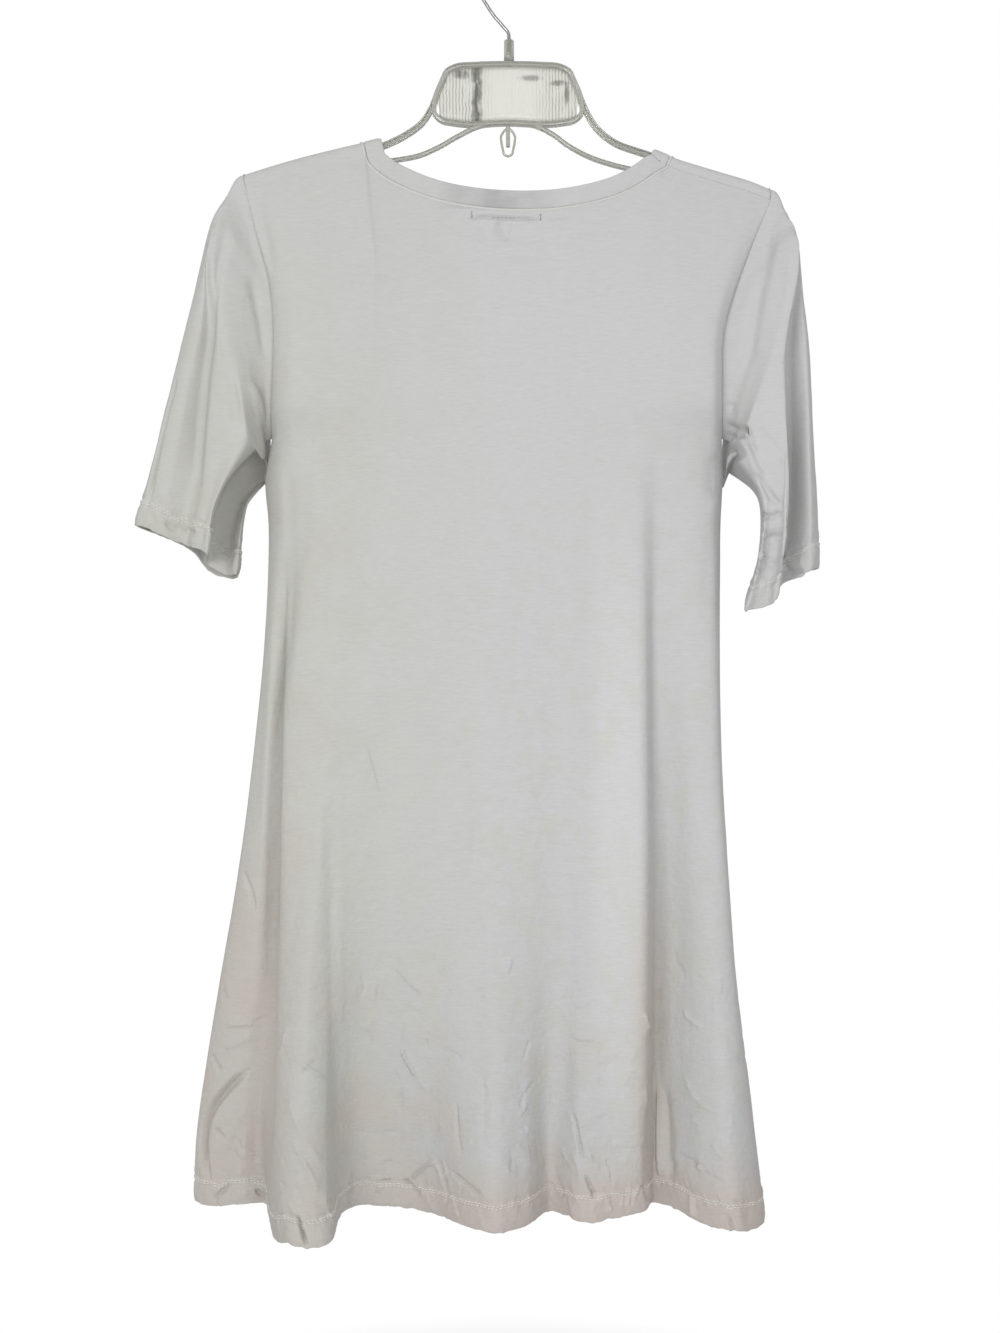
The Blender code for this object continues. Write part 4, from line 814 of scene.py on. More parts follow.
hemLook = {
    "line": 18.6,  # height of the stitched ridge above the edge
    "sway": (0.8, 46.0),  # how far that line wanders up and down, and how long its waves are
    "ridge": (0.9, 0.95),  # height, half width
    "unevenness": (0.9, 9.0),  # how much the ridge's height varies, and over what length
    "groove": (0.45, 2.6, 1.2),  # on both sides of the ridge: depth, place, half width
    "bulge": (0.7, 5.0, 4.0),  # the turned-up band stands proud: height, and how it fades up and down
    # puckers: length along the hem and across it, height
    "puckers": (8.0, 22.0, 1.0),
    "finePuckers": (3.6, 13.0, 0.7),
    "sharpPuckers": (12.8, 34.0, 0.8),
    "slants": (0.5, -0.35),
    "puckerReach": (16.0, 11.0),  # below the ridge and above it
    "edge": 1.3,  # how far the lower edge wanders up and down
    "edgeWaves": (((13.0, 1.0, 1.0), 1.0, 0), ((5.5, 1.0, 1.0), 0.55, 13)),
    "edgeReach": 9.0,
    "reach": (62.0, 20.0),  # above this the cloth is smooth, and how the relief fades towards it
}


def hump(place, halfWidth):
    return np.exp(-((place / halfWidth) ** 2))


def hemRelief(points, rise, seed):
    # the stitched ridge, the fuller band under it, and the puckers that run across both
    lift = np.zeros(rise.shape)
    reach, fading = hemLook["reach"]
    near = np.flatnonzero(rise.min(axis=1) < reach)
    rise = rise[near]
    place = np.broadcast_to(runs(points[-1]), rise.shape)
    flat = np.stack([place, rise, np.zeros(rise.shape)], axis=2)
    line = flat[:1] * (1.0, 0.0, 0.0)
    sway, wave = hemLook["sway"]
    above = rise - hemLook["line"] - sway * ripple(line, (wave, 1.0, 1.0), seed + 3)

    share, wave = hemLook["unevenness"]
    height, width = hemLook["ridge"]
    uneven = 1.0 + share * ripple(line, (wave, 1.0, 1.0), seed + 7)
    stitched = height * uneven * hump(above, width)
    depth, apart, width = hemLook["groove"]
    stitched = stitched - depth * hump(np.abs(above) - apart, width)
    height, up, down = hemLook["bulge"]
    stitched = stitched + height * ease(-above / up) * ease(rise / down)

    waves = np.zeros(rise.shape)
    kinds = (("puckers", 0, 0), ("finePuckers", 1, 31), ("sharpPuckers", 0, 57))
    for kind, slant, shift in kinds:
        long, tall, height = hemLook[kind]
        slanted = flat.copy()
        slanted[..., 0] += hemLook["slants"][slant] * rise
        wave = ripple(slanted, (long, tall, 1.0), seed + shift)
        if kind == "sharpPuckers":
            wave = np.clip(1 - np.abs(wave) * 4.0, 0.0, 1.0) ** 2
        waves += height * wave
    below, over = hemLook["puckerReach"]
    waves = waves * hump(np.minimum(above, 0.0), below) * hump(np.maximum(above, 0.0), over)
    lift[near] = (stitched + waves) * ease((reach - rise) / fading)
    return lift


def unevenEdge(points, rise, seed):
    # the lower edge wanders a little up and down
    place = runs(points[-1])
    line = np.stack([place, np.zeros(len(place)), np.zeros(len(place))], axis=1)
    moved = points.copy()
    sway = hemLook["edge"] * softWaves(line, hemLook["edgeWaves"], seed)
    moved[..., 2] += sway * hump(rise, hemLook["edgeReach"])
    return moved


def aboveEdge(points, directions, rise, height):
    # the line that runs at one height above the lower edge, and the directions out of it
    line = np.empty((points.shape[1], 6))
    both = np.concatenate([points, directions], axis=2)[::-1]
    for k in range(points.shape[1]):
        for axis in range(6):
            line[k, axis] = np.interp(height, rise[::-1, k], both[:, k, axis])
    return line[:, :3], unit(line[:, 3:])


def turnedUp(points, directions):
    # the cloth goes round the fold at its lower edge and up again on the inside
    rise = riseAbove(points)
    down = unit(points[-1] - points[-3])
    radius = dress["hemFold"]
    rows = []
    for angle in np.radians(np.arange(1, 9) * 22.5):
        inwards = directions[-1] * radius * (1 - math.cos(angle))
        rows.append(points[-1] + down * radius * math.sin(angle) - inwards)
    for height in np.linspace(2.5, dress["hemTurn"], 8):
        line, outward = aboveEdge(points, directions, rise, height)
        rows.append(line - outward * 2 * radius)
    return np.concatenate([points, np.array(rows)])


def solidCloth(piece, wall):
    shell = piece.modifiers.new("wall", "SOLIDIFY")
    shell.thickness = wall * mm
    shell.offset = -1.0
    evenShade = piece.modifiers.new("evenShade", "WEIGHTED_NORMAL")
    evenShade.mode = "FACE_AREA_WITH_ANGLE"


def clothPiece(name, node, finish, points, directions, close, **layout):
    # the cloth with its lower edge turned up, and what its seams and stitches are placed by
    whole = turnedUp(points, directions)
    faces = clothFaces(whole, close, **layout)
    piece = addPiece(name, whole.reshape(-1, 3), faces, finish, "jersey", [node])
    solidCloth(piece, dress["wall"])
    return {"piece": piece, "points": points, "directions": directions, "rise": riseAbove(points)}


def creased(points, name):
    return creaseLift * sum(pressed(points, crease) for crease in creases[name] + scattered.get(name, ()))


def makePanel(side, name, node, finish, seed):
    # the back or the front: its folds, with creases, soft waves and the hem's relief laid on them
    base, onNeck = panelGrid(side)
    flip = side > 0
    rise = riseAbove(base)
    directions = outwards(base, flip=flip)
    inset = insets(base)
    start, long, least = dress["calmTop"]
    waves = softWaves(base, dress["softWaves"], seed) * lerp(least, 1.0, ease((-base[..., 2] - start) / long))
    creaseInset, hemInset = dress["calmSides"]
    lift = (creased(base, name) + waves) * ease(inset / creaseInset)
    lift += hemRelief(base, rise, seed + 17) * ease(inset / hemInset)
    capRows = dress["capRows"][side]
    calm = capRows + dress["calmShoulder"]
    lift[:calm] *= np.linspace(0.0, 1.0, calm)[:, None] ** 2
    points = unevenEdge(base + directions * lift[..., None], rise, seed + 41)
    panel = clothPiece(
        name,
        node,
        finish,
        points,
        outwards(points, flip=flip),
        dress["closeness"][side],
        flip=flip,
        skip=lambda top, left: (top < capRows) & onNeck[np.minimum(left + 2, len(onNeck) - 1)],
    )
    panel["onNeck"] = onNeck
    return panel


def armholeRing(panels, column):
    # the armhole's edge, and how far round the sleeve each of its points is
    rows = {s: dress["capRows"][s] + chestRows + 1 for s in (-1, 1)}
    back, front = (panels[s]["points"][: rows[s], column] for s in (-1, 1))
    ring = np.concatenate([back, front[::-1]])
    seam = seamAway(back[0, 0], -1) / np.linalg.norm(np.diff(ring, axis=0), axis=1).sum()
    turn = np.concatenate([lerp(seam, 0.5, along(back)), lerp(1 + seam, 0.5, along(front))[::-1]])
    place = along(ring)
    even = np.arange(sleeves["columns"]) / sleeves["columns"]
    table = np.column_stack([ring, turn])
    table = np.stack([np.interp(even, place, column) for column in table.T], axis=1)
    return table[:, :3], table[:, 3]


def sleeveGrid(ring, turn, side):
    # the sleeve's points, from its armhole to the cuff, and how far round it each one lies
    table = sleeves[side]
    lip, fall, lipPlace = sleeves["lip"]
    gap = np.array([side * dress["seamGap"], 0.0, 0.0])
    rings = [ring + gap, ring + gap + np.array([side * lip, 0.0, -lip * fall])]
    sections = table["sections"]
    places = [0.0, lipPlace] + [row[1] for row in sections]
    lines = np.array([row[1:] for row in table["folds"]], float)
    before, after = lines[-2:].copy(), lines[:2].copy()
    before[:, 0] -= 100
    after[:, 0] += 100
    lines = np.concatenate([before, lines, after])
    even = (np.arange(len(ring)) + 0.5) / len(ring)
    for k, (_, place, *corners) in enumerate(sections):
        outer, under = np.array(corners).reshape(2, 2)
        at = lerp(turn, even, min(1.0, place * sleeves["untwist"]))
        share, depth, drop = smooth(lines[:, 0] / 100, lines[:, [1 + k, 6 + k, 11]], at).T
        x, z = lerp(outer, under, share[:, None] / 100).T
        rings.append(np.stack([x, -depth, z + drop * place ** sleeves["cuffFall"]], axis=1))
    at = np.linspace(0.0, 1.0, sleeves["rings"] + 1)
    wayRound = lerp(turn, even, np.minimum(1.0, at * sleeves["untwist"])[:, None])
    return smooth(places, np.array(rings), at), wayRound


def makeSleeve(panels, side, name, node, finish, seed):
    # a tube set into the armhole, with the same relief as the panels
    ring, turn = armholeRing(panels, 0 if side < 0 else -1)
    base, wayRound = sleeveGrid(ring, turn, side)
    flip = side > 0
    directions = outwards(base, wrap=True, flip=flip)
    rise = riseAbove(base)
    lift = softWaves(base, dress["sleeveWaves"], seed) + hemRelief(base, rise, seed + 17)
    for half, middle in (("Back", 0.25), ("Front", 0.75)):
        lift += creased(base, name + half) * ease((0.5 - np.abs(wayRound - middle) * 2) * 8 + 0.5)
    fromSeam = np.concatenate([base[:1] * 0, np.cumsum(np.abs(np.diff(base, axis=0)), axis=0)])
    lift *= ease(np.linalg.norm(fromSeam, axis=2) / dress["calmArmhole"])
    points = unevenEdge(base + directions * lift[..., None], rise, seed + 41)
    directions = outwards(points, wrap=True, flip=flip)
    return clothPiece(name, node, finish, points, directions, dress["sleeveCloseness"], wrap=True, flip=flip)


def neckRing(panels):
    # once round the neck: along the back from the left shoulder, and back along the front
    loop, ways = [], []
    for side, order in ((-1, 1), (1, -1)):
        points, onNeck = panels[side]["points"], panels[side]["onNeck"]
        directions = panels[side]["directions"]
        capRows = dress["capRows"][side]
        first, last = np.flatnonzero(onNeck)[[0, -1]] + (-1, 1)
        for grid, kept in ((points, loop), (directions, ways)):
            ends = [grid[: capRows + 1, k] for k in (first, last)]
            run = np.concatenate([ends[0][1:], grid[capRows, first + 1 : last], ends[1][::-1][1:]])
            kept.append(run[::order])
    return np.concatenate(loop), np.concatenate(ways)


def evened(ring, vectors, reach):
    # vectors round a ring, each averaged with its neighbours
    place, steps = runsRound(ring)
    apart = np.abs(place[:, None] - place)
    apart = np.minimum(apart, steps.sum() - apart)
    weight = np.exp(-((apart / reach) ** 2) / 2) * (steps + np.roll(steps, 1))
    return weight @ vectors / weight.sum(axis=1)[:, None]


def neckFrame(panels):
    # the neck's edge, the way into the neck from it, and the way out of the cloth
    ring, _ = neckRing(panels)
    tangent = unit(evened(ring, np.roll(ring, -1, axis=0) - np.roll(ring, 1, axis=0), 1.5))
    over = np.clip(ring[:, 1] / dress["capRadius"], -1.0, 1.0)
    up = np.sqrt(1 - over**2)
    slope = [(ridge(x + 1) - ridge(x - 1)) / 2 for x in neck["ends"]]
    normal = np.stack([-up * np.where(ring[:, 0] < 0, *slope), over, up], axis=1)
    inward = unit(evened(ring, np.cross(normal, tangent), neck["bandEase"]))
    return ring, inward, unit(normal)


bandCreases = (
    # share of the way round from the left shoulder along the back, half length, height, slant
    (0.050, 5.0, 1.1, 0.7),
    (0.105, 4.0, -1.0, 1.5),
    (0.150, 9.0, -1.7, 3.0),
    (0.186, 6.0, 1.1, 3.2),
    (0.226, 10.0, -1.9, 4.0),
    (0.268, 5.0, 1.0, 2.0),
    (0.320, 4.0, -0.8, 2.2),
    (0.385, 5.0, -1.1, 1.4),
    (0.600, 6.0, 1.1, 1.2),
    (0.700, 8.0, -1.2, -1.6),
    (0.820, 6.0, 1.0, 1.4),
    (0.930, 5.0, -1.0, -1.0),
)


def makeBand(panels, finish, welt):
    # the folded strip round the neck, its creases, and the stitched ridge beside it
    ring, inward, normal = neckFrame(panels)
    points, _ = sweep(ring, inward, normal, neck["bandProfile"], closed=True)
    grid = points.reshape(len(ring), -1, 3)
    place, steps = runsRound(ring)
    total = steps.sum()
    reach = np.array(neck["bandProfile"])[:, 0]
    lift = np.zeros(grid.shape[:2])
    for share, half, height, slant in bandCreases:
        apart = place[:, None] - share * total - slant * (reach[None] - neck["bandMiddle"])
        apart = (apart + total / 2) % total - total / 2
        across = np.sin(np.clip(reach / reach.max(), 0, 1) * math.pi)
        lift += height * hump(apart, half) * across[None]
    lift += 0.25 * ripple(grid, (14.0, 14.0, 9.0), 61)
    grid = grid + normal[:, None] * lift[..., None] * ease((reach - 1.0) / 3.0)[None, :, None]
    rows = grid.swapaxes(0, 1)
    faces = gridFaces(len(rows), len(ring), wrap=True, flip=True)
    band = addPiece("neckBand", rows.reshape(-1, 3), faces, finish, "jersey", ["neck_band"])
    solidCloth(band, neck["bandWall"])
    points, faces = sweep(ring, inward, normal, neck["weltProfile"], closed=True)
    addPiece("neckWelt", points, outFacing(points, faces), welt, "jersey")
    return band, total


seams = {
    # the overlocked edges behind each seam: across, and height from the outside of the cloth
    "profile": (
        (-2.6, -1.2), (-0.05, -1.15), (-0.04, -0.35), (0.04, -0.35), (0.05, -1.15), (2.6, -1.2),
        (2.6, -1.8), (-2.6, -1.8),
    ),
    # the same at the armholes, where they lie flat in the sleeve
    "roundProfile": ((-0.06, -0.7), (-0.06, -0.03), (0.06, -0.03), (0.06, -0.7)),
    "stitch": 2.8,  # length of a stitch
    "pause": 0.6,  # between two of them
    "thread": 0.38,
    "rowsApart": 2.0,
}


def seamBody(line, outward, closed=False):
    # the seam allowance along one seam
    tangent = np.gradient(line, axis=0)
    if closed:
        tangent = np.roll(line, -1, axis=0) - np.roll(line, 1, axis=0)
    profile = seams["roundProfile" if closed else "profile"]
    return sweep(line, unit(np.cross(unit(outward), unit(tangent))), unit(outward), profile, closed)


def makeSeams(panels, finish):
    bodies = []
    top = {s: dress["capRows"][s] + chestRows for s in (-1, 1)}
    for column, side in ((0, -1), (-1, 1)):
        # down the side
        back, front = (through(panels[s]["points"][top[s] :, column], 160) for s in (-1, 1))
        bodies.append(seamBody((back + front) / 2, np.full(back.shape, (side, 0.0, 0.0))))
        # round the armhole
        edges = [panels[-1]["points"][: top[-1], column], panels[1]["points"][top[1] - 1 :: -1, column]]
        ring = np.concatenate(edges)
        ways = [panels[s]["directions"][: top[s], column] for s in (-1, 1)]
        outward = evened(ring, np.concatenate([ways[0], ways[1][::-1]]), 4.0)
        bodies.append(seamBody(ring + np.array([side * dress["seamGap"] / 2, 0, 0]), outward, closed=True))
        # along the shoulder
        ends = []
        for s in (-1, 1):
            points, onNeck = panels[s]["points"][0], panels[s]["onNeck"]
            cut = np.flatnonzero(onNeck)[0 if side < 0 else -1]
            ends.append(through(points[:cut] if side < 0 else points[cut + 1 :], 40))
        line = (ends[0] + ends[1]) / 2
        tilt = np.clip(-line[:, 1] / dress["capRadius"], -1, 1)
        outward = np.stack([np.zeros(len(line)), -tilt, np.sqrt(1 - tilt**2)], axis=1)
        bodies.append(seamBody(line, outward))
    addPiece("seamAllowances", *gathered(bodies), finish, "jersey")


def threadBody(line, up, thick, sides):
    # a bit of thread along a line, with its radius at each point
    turns = np.linspace(0, 2 * math.pi, sides, endpoint=False)
    across = unit(np.cross(up, np.gradient(line, axis=0)))
    ways = across[:, None] * np.cos(turns)[None, :, None] + up[:, None] * np.sin(turns)[None, :, None]
    rings = line[:, None] + thick[:, None, None] * ways
    last = (len(line) - 1) * sides
    faces = gridFaces(len(line), sides, wrap=True)
    faces += [tuple(range(sides)), tuple(range(last, last + sides))[::-1]]
    return rings.reshape(-1, 3), faces


def stitchRow(line, outward, closed=False, thread=seams["thread"]):
    # a row of short stitches, each a little bow of thread that dips into the cloth at its ends
    if closed:
        line, outward = (np.concatenate([a, a[:1]]) for a in (line, outward))
    place = runs(line)
    bodies = []
    pitch = seams["stitch"] + seams["pause"]
    bow = np.sin(np.linspace(0.0, math.pi, 5))
    for start in np.arange(pitch / 2, place[-1] - pitch, pitch):
        at = start + np.linspace(0.0, 1.0, len(bow)) * seams["stitch"]
        centre = np.stack([np.interp(at, place, line[:, k]) for k in range(3)], axis=1)
        up = unit(np.stack([np.interp(at, place, outward[:, k]) for k in range(3)], axis=1))
        centre = centre + up * (0.3 * bow - 0.12)[:, None]
        bodies.append(threadBody(centre, up, thread * (0.55 + 0.45 * bow), 6))
    return bodies


def makeStitches(panels, tubes, finish):
    bodies = []
    half = seams["rowsApart"] / 2
    for part, closed in [(panels[s], False) for s in (-1, 1)] + [(tube, True) for tube in tubes]:
        for height in (hemLook["line"] - half, hemLook["line"] + half):
            line, outward = aboveEdge(part["points"], part["directions"], part["rise"], height)
            if not closed:
                line, outward = line[2:-2], outward[2:-2]
            bodies += stitchRow(line, outward, closed)
    addPiece("hemStitches", *gathered(bodies), finish, "jersey")


labelMarks = {
    "places": ((-29.2, -210.4), (26.0, -212.6)),  # the bar tacks at the label's two corners
    "tall": 4.6,
    "wide": 1.9,
    "rows": 5,  # threads in a bar tack, one above the other
    "thread": 0.26,
    # the row of stitches between them
    "line": ((-28.0, -213.6), (-14.0, -212.4), (2.0, -213.0), (14.0, -213.6), (24.5, -213.6)),
    "lineThread": 0.16,
}


def nearestOn(part, x, z):
    # the point of the cloth that lies nearest to a place and height
    points = part["points"]
    gap = (points[..., 0] - x) ** 2 + (points[..., 2] - z) ** 2
    return points[np.unravel_index(gap.argmin(), gap.shape)]


def makeLabelMarks(panel, finish):
    # the bar tacks that hold the label's corners show through as small upright marks, in dark thread that is
    # partly painted shade
    bodies = []
    tall, wide, rows = (labelMarks[key] for key in ("tall", "wide", "rows"))
    out = np.array((0.0, -1.0, 0.0))
    for x, z in labelMarks["places"]:
        for k in range(rows):
            level = z + tall * (k / (rows - 1) - 0.5)
            sway = wide / 2 * (0.7 + 0.3 * math.sin(5.0 * k + x))
            ends = [nearestOn(panel, x + dx, level + dz) for dx, dz in ((-sway, 0.0), (sway, 0.5))]
            y = min(p[1] for p in ends) - 0.05
            line = through([(x - sway, y, level), (x, y, level + 0.25), (x + sway, y, level + 0.5)], 7)
            bow = np.sin(np.linspace(0.0, math.pi, len(line)))
            radius = labelMarks["thread"]
            raised = line + out * (0.35 * radius * bow)[:, None]
            up = np.broadcast_to(out, line.shape)
            bodies.append(threadBody(raised, up, radius * (0.4 + 0.6 * bow), 8))
    # the row of stitches along the label's top edge, sunk in its groove, in dark thread that is partly
    # painted shade of the groove
    route = np.array([nearestOn(panel, x, z) for x, z in through(labelMarks["line"], 60)])
    bodies += stitchRow(route, np.tile(out, (len(route), 1)), thread=labelMarks["lineThread"])
    addPiece("labelStitches", *gathered(bodies), finish, "jersey")


hanger = {
    "plateDeep": 7.8,
    "plateRim": 3.6,  # how wide the frame round the window is
    "railDeep": 6.4,
    "railHigh": 4.5,
    "railGroove": 1.9,  # how deep it is moulded in on both faces
    "railUnderCloth": 3.8,  # top of a rail below the outside of the cloth
    "bowDeep": 6.0,
    "bowHigh": 3.0,
    "armEnds": {-1: -207.0, 1: 205.0},  # places, inside the shoulders
    # right half of the plate's outer edge, from top middle to bottom middle
    "plate": (
        (0, -83.3), (26, -84), (44, -86), (51, -90), (55, -98), (61.5, -117), (61, -126), (55, -132),
        (44, -134.5), (0, -134.5),
    ),
    "rails": {
        -1: ((-52.6, -98), (-57.6, -110), (-62.3, -121.5), (-69.0, -132), (-82, -142), (-97, -149.6)),
        1: ((52.6, -98), (57.6, -110), (62.6, -122), (70.5, -135.5), (86.0, -148.6), (104, -155.5)),
    },
    "bow": {
        -1: ((0, -132.8), (-25, -135.8), (-39, -142.6), (-57.5, -153), (-71, -158.8), (-88, -162.3),
             (-120, -165.2), (-160, -166.8)),
        1: ((0, -132.8), (22, -135), (35.6, -141.5), (49.4, -151.5), (68, -161), (84, -166.3),
            (120, -173.5), (163, -178)),
    },
    "windowThick": 2.2,
    "windowMiddle": -109.0,  # height that parts its upper edge from its lower one
    "windowCorner": -117.0,  # height of its widest point
    "ribPitch": 2.6,
    "clipRod": 1.7,
    "clipWire": 1.0,
    "clipRodEnds": (-134.9, -152.0),
    "clipHalf": ((0.8, -137.0), (3.5, -139.5), (5.6, -143.5), (5.4, -148.0), (4.2, -154.0), (3.0, -158.0),
                 (0, -159.5)),
}
hook = {
    "wire": 1.4,
    "arch": 23.0,  # to the middle of the wire
    "turn": (-20.0, 203.0),  # the arch's two ends, in degrees
    "bend": ((-17.5, -36.5), (-12.2, -44.6), (-3.4, -55.0), (0.4, -60.0), (0.8, -64.0)),
    "stemBottom": -82.5,
    "sleeve": (4.0, -65.5, -82.9),  # radius, top, bottom
    "sleeveRoom": 0.35,  # between the wire and the sleeve on it
    "sleeveSides": 36,
}


def inPlane(line, closed=False):
    # a line in the hanger's plane, the way across it, and the way to the front
    line = np.asarray(line, float)
    ahead = np.roll(line, -1, axis=0) - np.roll(line, 1, axis=0) if closed else np.gradient(line, axis=0)
    tangent, level = unit(ahead), np.zeros(len(line))
    points = np.stack([line[:, 0], level, line[:, 1]], axis=1)
    across = np.stack([-tangent[:, 1], level, tangent[:, 0]], axis=1)
    return points, across, np.broadcast_to((0.0, -1.0, 0.0), points.shape)


def boxProfile(high, deep, rounding, groove=0.0):
    # a bar's section: rounded edges, and a groove along its front and back where it is moulded thin
    h, d = high / 2, deep / 2
    quarter = [(h - rounding, d)]
    if groove:
        quarter = [(h * 0.34, d - groove), (h * 0.42, d - rounding * 0.3), (h - rounding, d)]
    quarter += [(h - rounding * 0.3, d - rounding * 0.3), (h, d - rounding)]
    flipped = [(a, -b) for a, b in quarter[::-1]]
    right = quarter + flipped
    return right + [(-a, -b) for a, b in right]


def strip(line, high, deep, rounding=0.7, groove=0.0, closed=False):
    return sweep(*inPlane(line, closed), boxProfile(high, deep, rounding, groove), closed)


def mirroredOutline(half):
    half = [tuple(p) for p in half]
    return np.array(half + [(-x, z) for x, z in half[::-1] if abs(x) > 1e-6], float)


def shrunk(outline, by):
    # a closed outline moved inwards
    ahead = unit(np.roll(outline, -1, axis=0) - outline)
    behind = np.roll(ahead, 1, axis=0)
    turn = unit(ahead + behind)
    inward = np.stack([turn[:, 1], -turn[:, 0]], axis=1)
    return outline + inward * by / np.sqrt((1 + (ahead * behind).sum(axis=1)) / 2)[:, None]


def railLine(side):
    # a rail's middle line: bare near the plate, then close under the cloth
    table, end = dress["shoulders"][side], hanger["armEnds"][side]
    xs = [x for x, _ in table if 100 < abs(x) < abs(end) - 5]
    xs = sorted(xs, key=abs) + [end]
    under = [(x, ridge(x) - hanger["railUnderCloth"] - hanger["railHigh"] / 2) for x in xs]
    return through(list(hanger["rails"][side]) + under, 110)


def plateOutline():
    return mirroredOutline(through(hanger["plate"], 40))


def makeHangerFrame(finish):
    rim = shrunk(plateOutline(), hanger["plateRim"] / 2)
    bodies = [strip(rim, hanger["plateRim"], hanger["plateDeep"], rounding=0.8, closed=True)]
    for side in (-1, 1):
        line, high, deep = railLine(side), hanger["railHigh"], hanger["railDeep"]
        bodies.append(strip(line, high, deep, groove=hanger["railGroove"]))
    bow = np.concatenate([through(hanger["bow"][-1], 70)[::-1], through(hanger["bow"][1], 70)[1:]])
    bodies.append(strip(bow, hanger["bowHigh"], hanger["bowDeep"]))
    united("hangerFrame", bodies, finish, "hanger_body")


def united(name, bodies, finish, node):
    # one body from several that run into each other
    pieces = []
    for k, (points, faces) in enumerate(bodies):
        pieces.append(addPiece(f"{name}{k}", points, outFacing(points, faces), finish, "clear_plastic"))
    base = pieces[0]
    for other in pieces[1:]:
        union = base.modifiers.new("join", "BOOLEAN")
        union.operation = "UNION"
        union.object = other
    graph = bpy.context.evaluated_depsgraph_get()
    mesh = bpy.data.meshes.new_from_object(base.evaluated_get(graph))
    base.modifiers.clear()
    base.data = mesh
    base.name = name
    for other in pieces[1:]:
        bpy.data.objects.remove(other)
    mesh.shade_smooth()
    mesh.set_sharp_from_angle(angle=math.radians(38))
    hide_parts(node)


def makeWindow(finish):
    # the clear panel in the plate, moulded with fine upright ribs on both faces
    outline = shrunk(plateOutline(), hanger["plateRim"] + 0.3)
    middle, pitch = hanger["windowMiddle"], hanger["ribPitch"]
    top, low = outline[outline[:, 1] > middle], outline[outline[:, 1] <= middle]
    top, low = top[np.argsort(top[:, 0])], low[np.argsort(low[:, 0])]
    wide = np.abs(outline[:, 0]).max() - 0.4
    xs = np.linspace(-wide, wide, 2 * round(wide * 2 / pitch) * 3 + 1)
    highest = np.interp(xs, top[:, 0], top[:, 1])
    lowest = np.interp(xs, low[:, 0], low[:, 1])
    topWide = np.abs(top[:, 0]).max()
    slant = np.interp(np.abs(xs), (topWide, wide), (top[0, 1], hanger["windowCorner"]))
    highest = np.where(np.abs(xs) > topWide, np.minimum(highest, slant), highest)
    wave = 0.5 + 0.5 * np.cos(xs / pitch * 2 * math.pi)
    deep = hanger["windowThick"] / 2 * (0.8 + 0.2 * wave**0.7)
    front = []
    for t in np.linspace(0.0, 1.0, 12):
        edge = 0.35 if t in (0.0, 1.0) else 1.0
        front.append(np.stack([xs, -deep * edge, lerp(highest, lowest, t)], axis=1))
    front = np.array(front)
    grid = np.concatenate([front, front[::-1] * (1, -1, 1)])
    count, columns = grid.shape[:2]
    last = (count - 1) * columns
    faces = gridFaces(count, columns)
    faces += [(last + k, k, k + 1, last + k + 1) for k in range(columns - 1)]
    ends = [tuple(r * columns + c for r in range(count)) for c in (0, columns - 1)]
    faces += [ends[0][::-1], ends[1]]
    points = grid.reshape(-1, 3)
    addPiece("hangerWindow", points, outFacing(points, faces), finish, "ribbed_plastic", ["hanger_window"])


def tube(line, radius, sides=16):
    # a round bar or wire in the hanger's plane
    turns = np.linspace(0, 2 * math.pi, sides, endpoint=False)
    return sweep(*inPlane(line), np.stack([np.cos(turns), np.sin(turns)], axis=1) * radius)


def makeClip(finish):
    # the little rod under the plate, and the wire loop round it
    half = np.array(hanger["clipHalf"])
    outline = np.concatenate([half, (half * (-1, 1))[::-1][1:]])
    rod = [(0.0, z) for z in np.linspace(*hanger["clipRodEnds"], 8)]
    bodies = [tube(through(outline, 60), hanger["clipWire"], 12), tube(rod, hanger["clipRod"])]
    united("hangerClip", bodies, finish, "hanger_clip")


def makeHook(steel, clear):
    # the wire, from the arch's open end down to the plate, and the clear sleeve on its stem
    turns = np.radians(np.linspace(*hook["turn"], 70))
    size, radius = hook["arch"], hook["wire"]
    arch = [(size * math.cos(a), radius + size * (math.sin(a) - 1)) for a in turns]
    bend = through([arch[-1], *hook["bend"]], 40)[1:]
    stemX, stemTop = hook["bend"][-1]
    stem = [(stemX, z) for z in np.linspace(stemTop, hook["stemBottom"], 8)[1:]]
    points, faces = tube([*arch, *map(tuple, bend), *stem], radius)
    wire = addPiece("hookWire", points, outFacing(points, faces), steel, "steel_wire", ["hook"])

    bore = radius + hook["sleeveRoom"]
    wide, top, bottom = hook["sleeve"]
    section = (
        (bore, bottom), (wide - 0.5, bottom), (wide, bottom + 0.5), (wide, top - 1.2),
        (wide - 0.4, top - 0.4), (wide - 1.0, top), (bore, top),
    )
    count, sides = hook["sleeveSides"], len(section)
    grid = []
    for a in np.linspace(0, 2 * math.pi, count, endpoint=False):
        grid += [(stemX + r * math.cos(a), r * math.sin(a), z) for r, z in section]
    points = np.array(grid)
    faces = gridFaces(count, sides, wrap=True)
    last = (count - 1) * sides
    faces += [(last + k, k, (k + 1) % sides, last + (k + 1) % sides) for k in range(sides)]
    sheath = addPiece("hookSleeve", points, outFacing(points, faces), clear, "clear_plastic", ["hook_sleeve"])
    for piece in (wire, sheath):
        piece.data.set_sharp_from_angle(angle=math.radians(50))


def addNode(tree, kind, inputs=None, **settings):
    made = tree.nodes.new("ShaderNode" + kind)
    for key, value in settings.items():
        setattr(made, key, value)
    for socket, value in (inputs or {}).items():
        if isinstance(value, bpy.types.NodeSocket):
            tree.links.new(value, made.inputs[socket])
        else:
            made.inputs[socket].default_value = value
    return made


def newFinish(name, values):
    finish = bpy.data.materials.new(name)
    finish.use_nodes = True
    shader = finish.node_tree.nodes["Principled BSDF"]
    for socket, value in values.items():
        shader.inputs[socket].default_value = value
    return finish, finish.node_tree, shader


